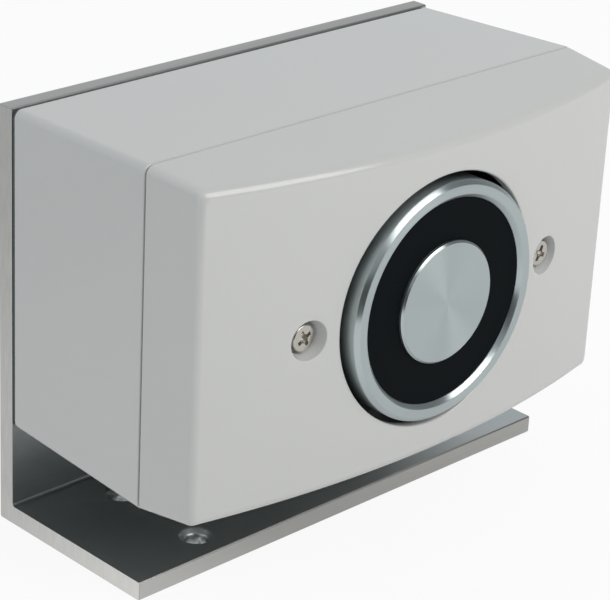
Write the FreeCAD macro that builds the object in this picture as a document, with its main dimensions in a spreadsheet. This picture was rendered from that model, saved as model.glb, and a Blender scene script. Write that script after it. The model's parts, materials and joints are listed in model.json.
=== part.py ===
import FreeCAD, Part
import math
import os
import re
import Sketcher

# Magnetic door holder: a pot electromagnet in a moulded housing on a floor bracket.
#
# Row frame: +X to the right, the front faces -Y, +Z up, millimetres. The origin is the
# centre of the floor screw pattern on the underside of the bracket's leg.
#
# The housing and what it holds are drawn in the housing frame: z runs along the magnet's
# axis to the front, x to the right, y up, and z = 0 is the front face of the plate.

SIZES = {
    # Bracket, an aluminium angle
    "bracket_length": 131.0,
    "bracket_height": 102.5,
    "leg_depth": 50.0,
    "angle_thickness": 4.5,
    "angle_root_radius": 0.8,
    "angle_edge_break": 0.3,
    "floor_hole_setback": 28.5,
    "floor_hole_pitch_across": 82.5,
    "floor_hole_pitch_deep": 26.0,
    "floor_hole_radius": 2.5,
    "floor_sink_radius": 4.4,
    # Gasket between plate and box
    "gasket_thickness": 0.9,
    "gasket_inset": 0.35,
    # Back box
    "box_width": 134.5,
    "box_height": 80.2,
    "box_depth": 45.15,
    "box_side_draft_angle": 2.1,
    "box_cap_draft_angle": 1.75,
    "box_wall": 2.4,
    "box_edge_radius": 2.0,
    "box_back_radius": 0.4,
    "box_rim_radius": 0.4,
    "box_rise": 1.25,
    # Front cover
    "seam_gap": 0.55,
    "cover_setback": 0.1,
    "cover_depth": 23.5,
    "cover_side_draft_angle": 6.3,
    "cover_cap_draft_angle": 5.2,
    "cover_wall": 2.3,
    "cover_edge_radius": 1.4,
    "bow_radius": 257.0,
    "magnet_hole_clearance": 1.55,
    "magnet_hole_edge_radius": 0.5,
    "lip_depth": 3.0,
    "lip_thickness": 1.6,
    "lip_root": 3.0,
    "lip_clearance": 0.3,
    # Cover screws, their wells, bosses, pillars and inserts
    "cover_screw_x": 38.2,
    "cover_screw_radius": 1.5,
    "cover_screw_length": 25.0,
    "cover_head_radius": 3.05,
    "cover_head_height": 1.9,
    "cover_head_rounding": 0.6,
    "cross_width": 0.9,
    "cross_span": 3.5,
    "cross_depth": 1.3,
    "well_depth": 3.4,
    "well_floor_radius": 3.5,
    "well_mouth_radius": 4.6,
    "boss_radius": 5.5,
    "boss_hole_clearance": 0.3,
    "pillar_radius": 5.0,
    "pillar_hole_radius": 1.9,
    "pillar_hole_depth": 14.0,
    "insert_radius": 2.6,
    "insert_length": 8.0,
    "insert_sink": 0.2,
    "thread_clearance": 0.05,
    # Magnet
    "magnet_stand_out": 1.75,
    "magnet_height": 30.0,
    "pot_radius": 28.4,
    "pot_bore_radius": 24.3,
    "pot_floor": 5.0,
    "pole_chamfer": 1.0,
    "core_radius": 14.45,
    "potting_recess": 1.0,
    "potting_thickness": 3.0,
    "filling_clearance": 0.05,
    "bobbin_wall": 1.2,
    "winding_margin": 0.6,
    "lead_radius": 0.7,
    "lead_hole_clearance": 0.3,
    "lead_hole_x": 20.0,
    "lead_hole_spread": 2.2,
    # Magnet bolt and carrier
    "bolt_radius": 4.0,
    "bolt_reach": 16.0,
    "bolt_head_height": 5.3,
    "bolt_head_flats": 13.0,
    "bolt_hole_spare": 3.0,
    "lock_washer_radius": 7.4,
    "lock_washer_thickness": 2.0,
    "carrier_thickness": 3.0,
    "carrier_width": 50.0,
    "carrier_margin": 4.3,
    "carrier_corner_radius": 4.0,
    "carrier_screw_x": 18.0,
    "carrier_screw_inset": 8.9,
    "carrier_boss_radius": 4.2,
    "carrier_screw_length": 12.0,
    # Fixing screws of the inner parts
    "fixing_radius": 2.0,
    "fixing_head_radius": 3.5,
    "fixing_head_height": 2.4,
    "fixing_hole_clearance": 0.25,
    "fixing_hole_spare": 2.0,
    "box_screw_inset_across": 9.75,
    "box_screw_inset_up": 11.1,
    "box_screw_tip_depth": 4.2,
    "washer_radius": 4.0,
    "washer_thickness": 0.8,
    # Cable entry
    "cable_y": -18.0,
    "cable_bore_radius": 4.0,
    "grommet_hub_radius": 7.9,
    "grommet_flange_radius": 10.4,
    "grommet_flange_thickness": 1.8,
    "grommet_clearance": 0.1,
    "cable_hole_margin": 0.7,
    # Circuit board
    "board_x": 38.0,
    "board_y": -20.5,
    "board_width": 28.0,
    "board_height": 24.0,
    "board_thickness": 1.6,
    "board_lift": 8.0,
    "standoff_radius": 3.0,
    "standoff_inset": 3.2,
    "board_screw_radius": 1.25,
    "board_screw_head_radius": 2.4,
    "board_screw_head_height": 1.8,
    "board_screw_length": 7.0,
    "diode_radius": 1.35,
    "diode_length": 5.2,
    "diode_lead_radius": 0.4,
    "diode_span": 10.0,
    "diode_x": 40.5,
    "diode_y": -18.0,
    "lead_pad_x": 31.5,
    "lead_pad_y": -15.2,
    "lead_pad_spread": 1.8,
    "lead_turn_depth": 11.0,
    "lead_rise": 7.0,
    # Terminal block
    "terminal_pitch": 5.0,
    "terminal_end_wall": 0.8,
    "terminal_depth": 8.4,
    "terminal_height": 9.6,
    "terminal_x": 42.0,
    "terminal_y": -26.3,
    "clamp_width": 3.4,
    "clamp_depth": 5.6,
    "clamp_height": 5.0,
    "clamp_wall": 0.4,
    "clamp_lift": 0.8,
    "clamp_clearance": 0.1,
    "clamp_setback": 1.2,
    "terminal_screw_radius": 1.2,
    "terminal_screw_head_radius": 1.55,
    "terminal_screw_head_height": 1.8,
}

# Places along the housing axis, worked out from the sizes
PLATE_FRONT = "(floor_hole_setback - angle_thickness)"
AXIS_HEIGHT = "(bracket_height + box_rise - box_height / 2)"
BOX_FLOOR = "(gasket_thickness + box_wall)"
RIM = "(gasket_thickness + box_depth)"
COVER_BACK = f"({RIM} + seam_gap)"
APEX = f"({COVER_BACK} + cover_depth)"
MAGNET_FACE = f"({APEX} + magnet_stand_out)"
MAGNET_BACK = f"({MAGNET_FACE} - magnet_height)"
POT_FLOOR = f"({MAGNET_BACK} + pot_floor)"
POTTING_FACE = f"({MAGNET_FACE} - potting_recess)"
POTTING_BACK = f"({POTTING_FACE} - potting_thickness)"
CARRIER_BACK = f"({MAGNET_BACK} - carrier_thickness)"
SCREW_SURFACE = f"({APEX} - bow_radius + sqrt(bow_radius^2 - cover_screw_x^2))"
SCREW_SEAT = f"({SCREW_SURFACE} - well_depth)"
BOARD_BACK = f"({BOX_FLOOR} + board_lift)"
BOARD_FACE = f"({BOARD_BACK} + board_thickness)"
CLAMP_BASE = f"({BOARD_FACE} + clamp_lift)"
CLAMP_TOP = f"({CLAMP_BASE} + clamp_height)"
COVER_HALF_WIDTH = "(box_width / 2 - cover_setback)"
COVER_HALF_HEIGHT = "(box_height / 2 - cover_setback)"
BOX_SIDE_DRAFT = "(box_depth * tan(box_side_draft_angle))"
BOX_CAP_DRAFT = "(box_depth * tan(box_cap_draft_angle))"
BOX_SCREW_X = "(box_width / 2 - box_screw_inset_across)"
BOX_SCREW_Y = "(box_height / 2 - box_screw_inset_up)"
CARRIER_SCREW_Y = "(box_height / 2 - carrier_screw_inset)"
LIP_INSET = "(box_wall + lip_depth * tan(box_side_draft_angle) + lip_clearance)"
PLATE_HOLE_RADIUS = "(grommet_flange_radius + cable_hole_margin)"
STANDOFF_X = "(board_width / 2 - standoff_inset)"
STANDOFF_Y = "(board_height / 2 - standoff_inset)"
TERMINAL_POLES = 3
SIGNS = (-1, 1)
ALONG_X = FreeCAD.Vector(1, 0, 0)
ALONG_Y = FreeCAD.Vector(0, 1, 0)
ALONG_Z = FreeCAD.Vector(0, 0, 1)
TO_THE_FRONT = FreeCAD.Rotation(ALONG_X, 90)
NEAR = 1e-4

doc = FreeCAD.newDocument("door_holder")
sheet = doc.addObject("Spreadsheet::Sheet", "Sizes")
for row, (name, size) in enumerate(SIZES.items(), start=1):
    sheet.set(f"A{row}", name)
    sheet.set(f"B{row}", str(size))
    sheet.setAlias(f"B{row}", name)
doc.recompute()
parts = []


def bound(expression):
    """The expression with each size name led by the name of the sheet."""
    return re.sub(
        r"[a-z]\w+", lambda word: f"Sizes.{word[0]}" if word[0] in SIZES else word[0], expression
    )


def tie(thing, properties):
    """Bind properties of a document object to expressions of the sizes."""
    for path, expression in properties.items():
        thing.setExpression(path, bound(expression))


def seat(thing, across="0", up="0", forward="0"):
    """Stand a sub-part in the housing frame, with its own z axis to the front."""
    thing.Placement = FreeCAD.Placement(FreeCAD.Vector(), TO_THE_FRONT)
    tie(thing, {
        "Placement.Base.x": across,
        "Placement.Base.y": f"{PLATE_FRONT} - ({forward})",
        "Placement.Base.z": f"{AXIS_HEIGHT} + ({up})",
    })


def new_body(label):
    """An empty body, named after the piece."""
    body = doc.addObject("PartDesign::Body", label)
    body.Label = label
    return body


def origin_plane(body, role):
    """One of the body's own three planes."""
    return next(item for item in body.Origin.OriginFeatures if item.Role == role)


def new_sketch(body, role, lift="0"):
    """A sketch on one of the body's planes, lifted along the plane's normal."""
    sketch = body.newObject("Sketcher::SketchObject", f"{body.Name}_sketch")
    sketch.AttachmentSupport = [(origin_plane(body, role), "")]
    sketch.MapMode = "FlatFace"
    tie(sketch, {"AttachmentOffset.Base.z": lift})
    return sketch


def pin_point(sketch, geometry, corner, across, up):
    """Hold a point of a sketch at a place given by two expressions."""
    point = sketch.getPoint(geometry, corner)
    ways = (("DistanceX", -2, point.x, across), ("DistanceY", -1, point.y, up))
    for kind, axis, here, expression in ways:
        if expression == "0":
            sketch.addConstraint(Sketcher.Constraint("PointOnObject", geometry, corner, axis))
        else:
            index = sketch.addConstraint(Sketcher.Constraint(kind, -1, 1, geometry, corner, here))
            sketch.setExpression(f"Constraints[{index}]", bound(expression))


def draw_outline(sketch, corners):
    """A closed outline of straight lines through corners given as pairs of expressions."""
    first = sketch.GeometryCount
    count = len(corners)
    turns = [2 * math.pi * (step + 0.3) / count for step in range(count)]
    start = [FreeCAD.Vector(math.cos(turn), math.sin(turn), 0) for turn in turns]
    for step in range(count):
        sketch.addGeometry(Part.LineSegment(start[step], start[(step + 1) % count]))
    for step in range(count):
        following = first + (step + 1) % count
        sketch.addConstraint(Sketcher.Constraint("Coincident", first + step, 2, following, 1))
    for step, (across, up) in enumerate(corners):
        pin_point(sketch, first + step, 1, across, up)


def draw_rectangle(sketch, half_width, half_height, across="0", up="0"):
    """A rectangle about a centre, from half sizes."""
    draw_outline(sketch, [
        (f"{across} + {x} * ({half_width})", f"{up} + {y} * ({half_height})")
        for x, y in ((-1, -1), (1, -1), (1, 1), (-1, 1))
    ])


def draw_circle(sketch, across, up, radius):
    """A circle from expressions for its centre and radius."""
    centre = FreeCAD.Vector(1, 1, 0)
    geometry = sketch.addGeometry(Part.Circle(centre, ALONG_Z, 1))
    pin_point(sketch, geometry, 3, across, up)
    index = sketch.addConstraint(Sketcher.Constraint("Radius", geometry, 1))
    sketch.setExpression(f"Constraints[{index}]", bound(radius))


def corner_places(across, up):
    """The four places at plus and minus two expressions."""
    return [(f"{x} * ({across})", f"{y} * ({up})") for x in SIGNS for y in SIGNS]


def add_pad(body, sketch, length, symmetric=False):
    """Raise a sketch along its normal, or both ways from its plane."""
    pad = body.newObject("PartDesign::Pad", f"{body.Name}_pad")
    pad.Profile = sketch
    pad.SideType = "Symmetric" if symmetric else "One side"
    tie(pad, {"Length": length})
    doc.recompute()
    return pad


def add_pocket(body, sketch, length, symmetric=False):
    """Cut a sketch against its normal, or both ways, and make sure that it removed something."""
    before = body.Tip.Shape.Volume
    pocket = body.newObject("PartDesign::Pocket", f"{body.Name}_pocket")
    pocket.Profile = sketch
    pocket.SideType = "Symmetric" if symmetric else "One side"
    tie(pocket, {"Length": length})
    doc.recompute()
    if pocket.Shape.Volume > before - NEAR:
        raise RuntimeError(f"{pocket.Name} removes nothing")
    return pocket


def round_edges(body, choose, radius, kind="PartDesign::Fillet", size="Radius"):
    """Fillet or chamfer the edges of the body's tip that the test picks."""
    base = body.Tip
    picked = [f"Edge{number}" for number, edge in enumerate(base.Shape.Edges, start=1) if choose(edge)]
    dressing = body.newObject(kind, f"{body.Name}_edges")
    dressing.Base = (base, picked)
    tie(dressing, {size: radius})
    doc.recompute()
    return dressing


def lean_sides(body, axis, angle):
    """Give the two sides that face along an axis a draft, with the full size at the front face."""
    base = body.Tip
    faces = list(enumerate(base.Shape.Faces, start=1))
    front = max(faces, key=lambda numbered: numbered[1].CenterOfMass.z)
    sides = [number for number, face in faces if abs(face.normalAt(0, 0).dot(axis)) > 0.98]
    draft = body.newObject("PartDesign::Draft", f"{body.Name}_draft")
    draft.Base = (base, [f"Face{number}" for number in sides])
    draft.NeutralPlane = (base, [f"Face{front[0]}"])
    draft.Reversed = True
    tie(draft, {"Angle": angle})
    doc.recompute()
    return draft


def hollow_out(body, extreme, wall):
    """Turn the body into a shell of one wall thickness, open at its front or back face."""
    base = body.Tip
    faces = list(enumerate(base.Shape.Faces, start=1))
    opening = extreme(faces, key=lambda numbered: numbered[1].CenterOfMass.z)
    shell = body.newObject("PartDesign::Thickness", f"{body.Name}_shell")
    shell.Base = (base, [f"Face{opening[0]}"])
    shell.Reversed = True
    shell.Join = "Intersection"
    tie(shell, {"Value": wall})
    doc.recompute()
    return shell


def runs_along(edge, axis):
    """Whether an edge is straight and nearly parallel to an axis."""
    if edge.Curve.TypeId != "Part::GeomLine":
        return False
    return abs(edge.tangentAt(edge.FirstParameter).dot(axis)) > 0.98


def at_height(edge, height):
    """Whether an edge has all its ends at one height."""
    return all(abs(vertex.Z - height) < NEAR for vertex in edge.Vertexes)


def round_corners(body, radius):
    """Fillet the upright outer corner edges of a plate or a box."""
    upright = [edge for edge in body.Tip.Shape.Edges if runs_along(edge, ALONG_Z)]
    reach = max(edge.CenterOfMass.x for edge in upright)

    def at_corner(edge):
        return runs_along(edge, ALONG_Z) and abs(abs(edge.CenterOfMass.x) - reach) < NEAR

    round_edges(body, at_corner, radius)


def turn_profile(label, corners):
    """A turned piece: an outline of radius and height pairs carried round the z axis."""
    body = new_body(label)
    sketch = new_sketch(body, "XZ_Plane")
    draw_outline(sketch, corners)
    turning = body.newObject("PartDesign::Revolution", f"{label}_turning")
    turning.Profile = sketch
    turning.ReferenceAxis = (sketch, ["V_Axis"])
    turning.Angle = 360
    doc.recompute()
    return body


def keep(piece):
    """Count a finished sub-part, which is written under its label."""
    parts.append(piece)
    return piece


def keep_group(label, pieces):
    """Identical pieces as one sub-part."""
    group = doc.addObject("Part::Compound", label)
    group.Label = label
    group.Links = pieces
    return keep(group)


def build_bracket():
    """Aluminium angle with countersunk floor holes and tapped holes for the box."""
    body = new_body("mounting_bracket")
    back = "floor_hole_setback"
    tip = "(floor_hole_setback - leg_depth)"
    profile = new_sketch(body, "YZ_Plane")
    draw_outline(profile, [
        (back, "0"),
        (tip, "0"),
        (tip, "angle_thickness"),
        (PLATE_FRONT, "angle_thickness"),
        (PLATE_FRONT, "bracket_height"),
        (back, "bracket_height"),
    ])
    add_pad(body, profile, "bracket_length", symmetric=True)
    box = body.Tip.Shape.BoundBox
    plate_front = float(body.Tip.Shape.BoundBox.YMax) - sheet.angle_thickness

    def at_root(edge):
        middle = edge.CenterOfMass
        inside = abs(middle.y - plate_front) < NEAR and abs(middle.z - sheet.angle_thickness) < NEAR
        return runs_along(edge, ALONG_X) and inside

    round_edges(body, at_root, "angle_root_radius")

    def outer_long_edge(edge):
        middle = edge.CenterOfMass
        at_top = abs(middle.z - box.ZMax) < NEAR
        at_tip = abs(middle.y - box.YMin) < NEAR
        at_heel = abs(middle.y - box.YMax) < NEAR
        return runs_along(edge, ALONG_X) and (at_top or at_tip or at_heel)

    round_edges(body, outer_long_edge, "angle_edge_break", "PartDesign::Chamfer", "Size")

    floor_holes = new_sketch(body, "XY_Plane", "angle_thickness")
    for across, deep in corner_places("floor_hole_pitch_across / 2", "floor_hole_pitch_deep / 2"):
        draw_circle(floor_holes, across, deep, "floor_hole_radius")
    doc.recompute()
    solid_volume = body.Tip.Shape.Volume
    drilling = body.newObject("PartDesign::Hole", "floor_holes")
    drilling.Profile = floor_holes
    drilling.ThreadType = "None"
    drilling.DepthType = "ThroughAll"
    drilling.HoleCutType = "Countersink"
    drilling.HoleCutCustomValues = True
    drilling.HoleCutCountersinkAngle = 90
    tie(drilling, {"Diameter": "2 * floor_hole_radius", "HoleCutDiameter": "2 * floor_sink_radius"})
    doc.recompute()
    if drilling.Shape.Volume > solid_volume - NEAR:
        raise RuntimeError("the floor holes remove nothing")

    plate_holes = new_sketch(body, "XZ_Plane")
    for across, up in corner_places(BOX_SCREW_X, BOX_SCREW_Y):
        draw_circle(plate_holes, across, f"{AXIS_HEIGHT} + {up}", "fixing_radius + thread_clearance")
    draw_circle(plate_holes, "0", f"{AXIS_HEIGHT} + cable_y", PLATE_HOLE_RADIUS)
    add_pocket(body, plate_holes, "4 * floor_hole_setback", symmetric=True)
    keep(body)


def build_gasket():
    """Foam sheet between plate and box, cut out for the screws and the cable."""
    body = new_body("rear_gasket")
    sheet_outline = new_sketch(body, "XY_Plane")
    draw_rectangle(
        sheet_outline,
        f"box_width / 2 - {BOX_SIDE_DRAFT} - gasket_inset",
        f"box_height / 2 - {BOX_CAP_DRAFT} - gasket_inset",
    )
    for across, up in corner_places(BOX_SCREW_X, BOX_SCREW_Y):
        draw_circle(sheet_outline, across, up, "fixing_radius + fixing_hole_clearance")
    draw_circle(sheet_outline, "0", "cable_y", PLATE_HOLE_RADIUS)
    add_pad(body, sheet_outline, "gasket_thickness")
    round_corners(body, "box_edge_radius")
    seat(body)
    keep(body)


def build_box():
    """Moulded box with draft, pillars for the cover screws, bosses and standoffs."""
    body = new_body("back_box")
    rim = new_sketch(body, "XY_Plane", "gasket_thickness")
    draw_rectangle(rim, "box_width / 2", "box_height / 2")
    add_pad(body, rim, "box_depth")
    lean_sides(body, ALONG_X, "box_side_draft_angle")
    lean_sides(body, ALONG_Y, "box_cap_draft_angle")
    hollow_out(body, max, "box_wall")
    round_corners(body, "box_edge_radius")
    round_edges(body, lambda edge: at_height(edge, sheet.gasket_thickness), "box_back_radius")
    rim_height = sheet.gasket_thickness + sheet.box_depth

    def at_outer_rim(edge):
        middle = edge.CenterOfMass
        at_side = abs(abs(middle.x) - sheet.box_width / 2) < NEAR
        at_top = abs(abs(middle.y) - sheet.box_height / 2) < NEAR
        return at_height(edge, rim_height) and (at_side or at_top)

    round_edges(body, at_outer_rim, "box_rim_radius")

    pillars = new_sketch(body, "XY_Plane", "gasket_thickness + box_wall / 2")
    for side in SIGNS:
        draw_circle(pillars, f"{side} * cover_screw_x", "0", "pillar_radius")
    add_pad(body, pillars, "box_depth - box_wall / 2")
    bosses = new_sketch(body, "XY_Plane", "gasket_thickness + box_wall / 2")
    for across, up in corner_places("carrier_screw_x", CARRIER_SCREW_Y):
        draw_circle(bosses, across, up, "carrier_boss_radius")
    add_pad(body, bosses, f"{CARRIER_BACK} - gasket_thickness - box_wall / 2")
    standoffs = new_sketch(body, "XY_Plane", "gasket_thickness + box_wall / 2")
    for side in SIGNS:
        place = (f"board_x + {side} * {STANDOFF_X}", f"board_y + {side} * {STANDOFF_Y}")
        draw_circle(standoffs, *place, "standoff_radius")
    add_pad(body, standoffs, "board_lift + box_wall / 2")

    insert_seats = new_sketch(body, "XY_Plane", RIM)
    pillar_holes = new_sketch(body, "XY_Plane", RIM)
    for side in SIGNS:
        draw_circle(insert_seats, f"{side} * cover_screw_x", "0", "insert_radius + thread_clearance")
        draw_circle(pillar_holes, f"{side} * cover_screw_x", "0", "pillar_hole_radius")
    add_pocket(body, insert_seats, "insert_length + insert_sink")
    add_pocket(body, pillar_holes, "pillar_hole_depth")
    boss_holes = new_sketch(body, "XY_Plane", CARRIER_BACK)
    for across, up in corner_places("carrier_screw_x", CARRIER_SCREW_Y):
        draw_circle(boss_holes, across, up, "fixing_radius + thread_clearance")
    add_pocket(body, boss_holes, "carrier_screw_length - carrier_thickness + fixing_hole_spare")
    standoff_holes = new_sketch(body, "XY_Plane", BOARD_BACK)
    for side in SIGNS:
        place = (f"board_x + {side} * {STANDOFF_X}", f"board_y + {side} * {STANDOFF_Y}")
        draw_circle(standoff_holes, *place, "board_screw_radius + thread_clearance")
    add_pocket(body, standoff_holes, "board_lift")
    wall_holes = new_sketch(body, "XY_Plane", BOX_FLOOR)
    for across, up in corner_places(BOX_SCREW_X, BOX_SCREW_Y):
        draw_circle(wall_holes, across, up, "fixing_radius + fixing_hole_clearance")
    draw_circle(wall_holes, "0", "cable_y", "grommet_hub_radius + grommet_clearance")
    add_pocket(body, wall_holes, "2 * box_wall")
    seat(body)
    keep(body)


def draw_cover_plan(sketch):
    """The cover seen from above: straight back, drafted sides and a bowed front."""
    half_width = sheet.box_width / 2 - sheet.cover_setback
    back = sheet.gasket_thickness + sheet.box_depth + sheet.seam_gap
    centre = FreeCAD.Vector(0, back + sheet.cover_depth - sheet.bow_radius, 0)
    lean = math.asin(half_width / sheet.bow_radius)
    front = Part.ArcOfCircle(
        Part.Circle(centre, ALONG_Z, sheet.bow_radius), math.pi / 2 - lean, math.pi / 2 + lean
    )
    left_back = FreeCAD.Vector(-half_width, back, 0)
    right_back = FreeCAD.Vector(half_width, back, 0)
    sketch.addGeometry(Part.LineSegment(left_back, right_back))
    sketch.addGeometry(Part.LineSegment(right_back, front.StartPoint))
    sketch.addGeometry(front)
    sketch.addGeometry(Part.LineSegment(front.EndPoint, left_back))
    back_line, right_line, bow, left_line = range(4)
    pin_point(sketch, back_line, 1, f"-{COVER_HALF_WIDTH}", COVER_BACK)
    pin_point(sketch, back_line, 2, COVER_HALF_WIDTH, COVER_BACK)
    pin_point(sketch, bow, 3, "0", f"{APEX} - bow_radius")
    round_trip = (back_line, right_line, bow, left_line, back_line)
    for line, following in zip(round_trip, round_trip[1:]):
        sketch.addConstraint(Sketcher.Constraint("Coincident", line, 2, following, 1))
    radius = sketch.addConstraint(Sketcher.Constraint("Radius", bow, sheet.bow_radius))
    sketch.setExpression(f"Constraints[{radius}]", bound("bow_radius"))
    sketch.addConstraint(Sketcher.Constraint("Symmetric", bow, 1, bow, 2, -2))
    slope = sketch.addConstraint(Sketcher.Constraint("Angle", right_line, math.pi / 2))
    sketch.setExpression(f"Constraints[{slope}]", bound("90 + cover_side_draft_angle"))


def build_cover():
    """Bowed cover: drafted shell with a locating lip, the magnet's hole, wells and bosses."""
    body = new_body("front_cover")
    plan = new_sketch(body, "XZ_Plane")
    draw_cover_plan(plan)
    add_pad(body, plan, f"2 * {COVER_HALF_HEIGHT}", symmetric=True)
    slopes = new_sketch(body, "YZ_Plane")
    beyond = f"({APEX} + cover_wall)"
    lean = f"tan(cover_cap_draft_angle) * ({beyond} - {COVER_BACK})"
    for side in SIGNS:
        draw_outline(slopes, [
            (f"{side} * {COVER_HALF_HEIGHT}", COVER_BACK),
            (f"{side} * ({COVER_HALF_HEIGHT} - {lean})", beyond),
            (f"{side} * ({COVER_HALF_HEIGHT} + cover_wall)", beyond),
            (f"{side} * ({COVER_HALF_HEIGHT} + cover_wall)", COVER_BACK),
        ])
    add_pocket(body, slopes, "2 * box_width", symmetric=True)
    back = sheet.gasket_thickness + sheet.box_depth + sheet.seam_gap
    outside = [edge.CenterOfMass for edge in body.Tip.Shape.Edges if not at_height(edge, back)]
    hollow_out(body, min, "cover_wall")

    def is_outside(edge):
        return any(edge.CenterOfMass.isEqual(middle, sheet.cover_wall / 2) for middle in outside)

    def is_long_corner(edge):
        return is_outside(edge) and runs_along(edge, ALONG_Z)

    def is_front_edge(edge):
        return is_outside(edge) and not runs_along(edge, ALONG_Z)

    round_edges(body, is_long_corner, "box_edge_radius")
    round_edges(body, is_front_edge, "cover_edge_radius")

    root = new_sketch(body, "XY_Plane", COVER_BACK)
    half_wall = "cover_wall / 2"
    draw_rectangle(root, f"{COVER_HALF_WIDTH} - {half_wall}", f"{COVER_HALF_HEIGHT} - {half_wall}")
    inner = (
        f"box_width / 2 - {LIP_INSET} - lip_thickness",
        f"box_height / 2 - {LIP_INSET} - lip_thickness",
    )
    draw_rectangle(root, *inner)
    add_pad(body, root, "lip_root")
    lip = new_sketch(body, "XY_Plane", f"{RIM} - lip_depth")
    draw_rectangle(lip, f"box_width / 2 - {LIP_INSET}", f"box_height / 2 - {LIP_INSET}")
    draw_rectangle(lip, *inner)
    add_pad(body, lip, "lip_depth + seam_gap + lip_root / 2")

    opening = new_sketch(body, "XY_Plane", MAGNET_FACE)
    draw_circle(opening, "0", "0", "pot_radius + magnet_hole_clearance")
    add_pocket(body, opening, f"{MAGNET_FACE} - {RIM}")
    front = max(edge.CenterOfMass.z for edge in body.Tip.Shape.Edges if edge.isClosed())

    def at_hole_front(edge):
        return edge.isClosed() and edge.CenterOfMass.z > front - NEAR

    round_edges(body, at_hole_front, "magnet_hole_edge_radius")

    boss = new_sketch(body, "XY_Plane", RIM)
    draw_circle(boss, "cover_screw_x", "0", "boss_radius")
    boss_pad = add_pad(body, boss, f"{SCREW_SURFACE} - 0.6 * cover_wall - {RIM}")
    passage = new_sketch(body, "XY_Plane", APEX)
    draw_circle(passage, "cover_screw_x", "0", "cover_screw_radius + boss_hole_clearance")
    passage_cut = add_pocket(body, passage, f"{APEX} - {RIM}")
    well = new_sketch(body, "XZ_Plane")
    flare = "((well_mouth_radius - well_floor_radius) / well_depth)"
    draw_outline(well, [
        ("cover_screw_x", SCREW_SEAT),
        ("cover_screw_x + well_floor_radius", SCREW_SEAT),
        (f"cover_screw_x + well_floor_radius + {flare} * ({MAGNET_FACE} - {SCREW_SEAT})", MAGNET_FACE),
        ("cover_screw_x", MAGNET_FACE),
    ])
    axis = well.addGeometry(Part.LineSegment(FreeCAD.Vector(1, 0, 0), FreeCAD.Vector(1, 1, 0)), True)
    pin_point(well, axis, 1, "cover_screw_x", "0")
    pin_point(well, axis, 2, "cover_screw_x", "well_depth")
    well_cut = body.newObject("PartDesign::Groove", "front_cover_well")
    well_cut.Profile = well
    well_cut.ReferenceAxis = (well, ["Axis0"])
    well_cut.Angle = 360
    doc.recompute()
    pair = body.newObject("PartDesign::Mirrored", "front_cover_pair")
    pair.Originals = [boss_pad, passage_cut, well_cut]
    pair.MirrorPlane = (origin_plane(body, "YZ_Plane"), [""])
    body.Tip = pair
    seat(body)
    keep(body)


def build_cover_screw(label, side):
    """Pan-head cover screw with a cross recess; its seat is at z = 0."""
    end = "cover_screw_radius / 5"
    body = turn_profile(label, [
        ("0", "-cover_screw_length"),
        (f"cover_screw_radius - {end}", "-cover_screw_length"),
        ("cover_screw_radius", f"{end} - cover_screw_length"),
        ("cover_screw_radius", "0"),
        ("cover_head_radius", "0"),
        ("cover_head_radius", "cover_head_height - cover_head_rounding"),
        ("cover_head_radius - cover_head_rounding", "cover_head_height"),
        ("0", "cover_head_height"),
    ])
    cross = new_sketch(body, "XY_Plane", "cover_head_height")
    arm, slim = "cross_span / 2", "cross_width / 2"
    draw_outline(cross, [
        (f"{x} * {reach_x}", f"{y} * {reach_y}")
        for x, y, reach_x, reach_y in (
            (1, -1, arm, slim), (1, 1, arm, slim), (1, 1, slim, slim),
            (1, 1, slim, arm), (-1, 1, slim, arm), (-1, 1, slim, slim),
            (-1, 1, arm, slim), (-1, -1, arm, slim), (-1, -1, slim, slim),
            (-1, -1, slim, arm), (1, -1, slim, arm), (1, -1, slim, slim),
        )
    ])
    add_pocket(body, cross, "cross_depth")
    seat(body, across=f"{side} * cover_screw_x", forward=SCREW_SEAT)
    keep(body)


def build_inserts():
    """Brass threaded inserts in the tops of the two pillars."""
    inserts = []
    for side, word in zip(SIGNS, ("left", "right")):
        body = turn_profile(f"threaded_insert_{word}", [
            ("cover_screw_radius + thread_clearance", "0"),
            ("insert_radius", "0"),
            ("insert_radius", "insert_length"),
            ("cover_screw_radius + thread_clearance", "insert_length"),
        ])
        forward = f"{RIM} - insert_sink - insert_length"
        seat(body, across=f"{side} * cover_screw_x", forward=forward)
        inserts.append(body)
    keep_group("threaded_inserts", inserts)


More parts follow.
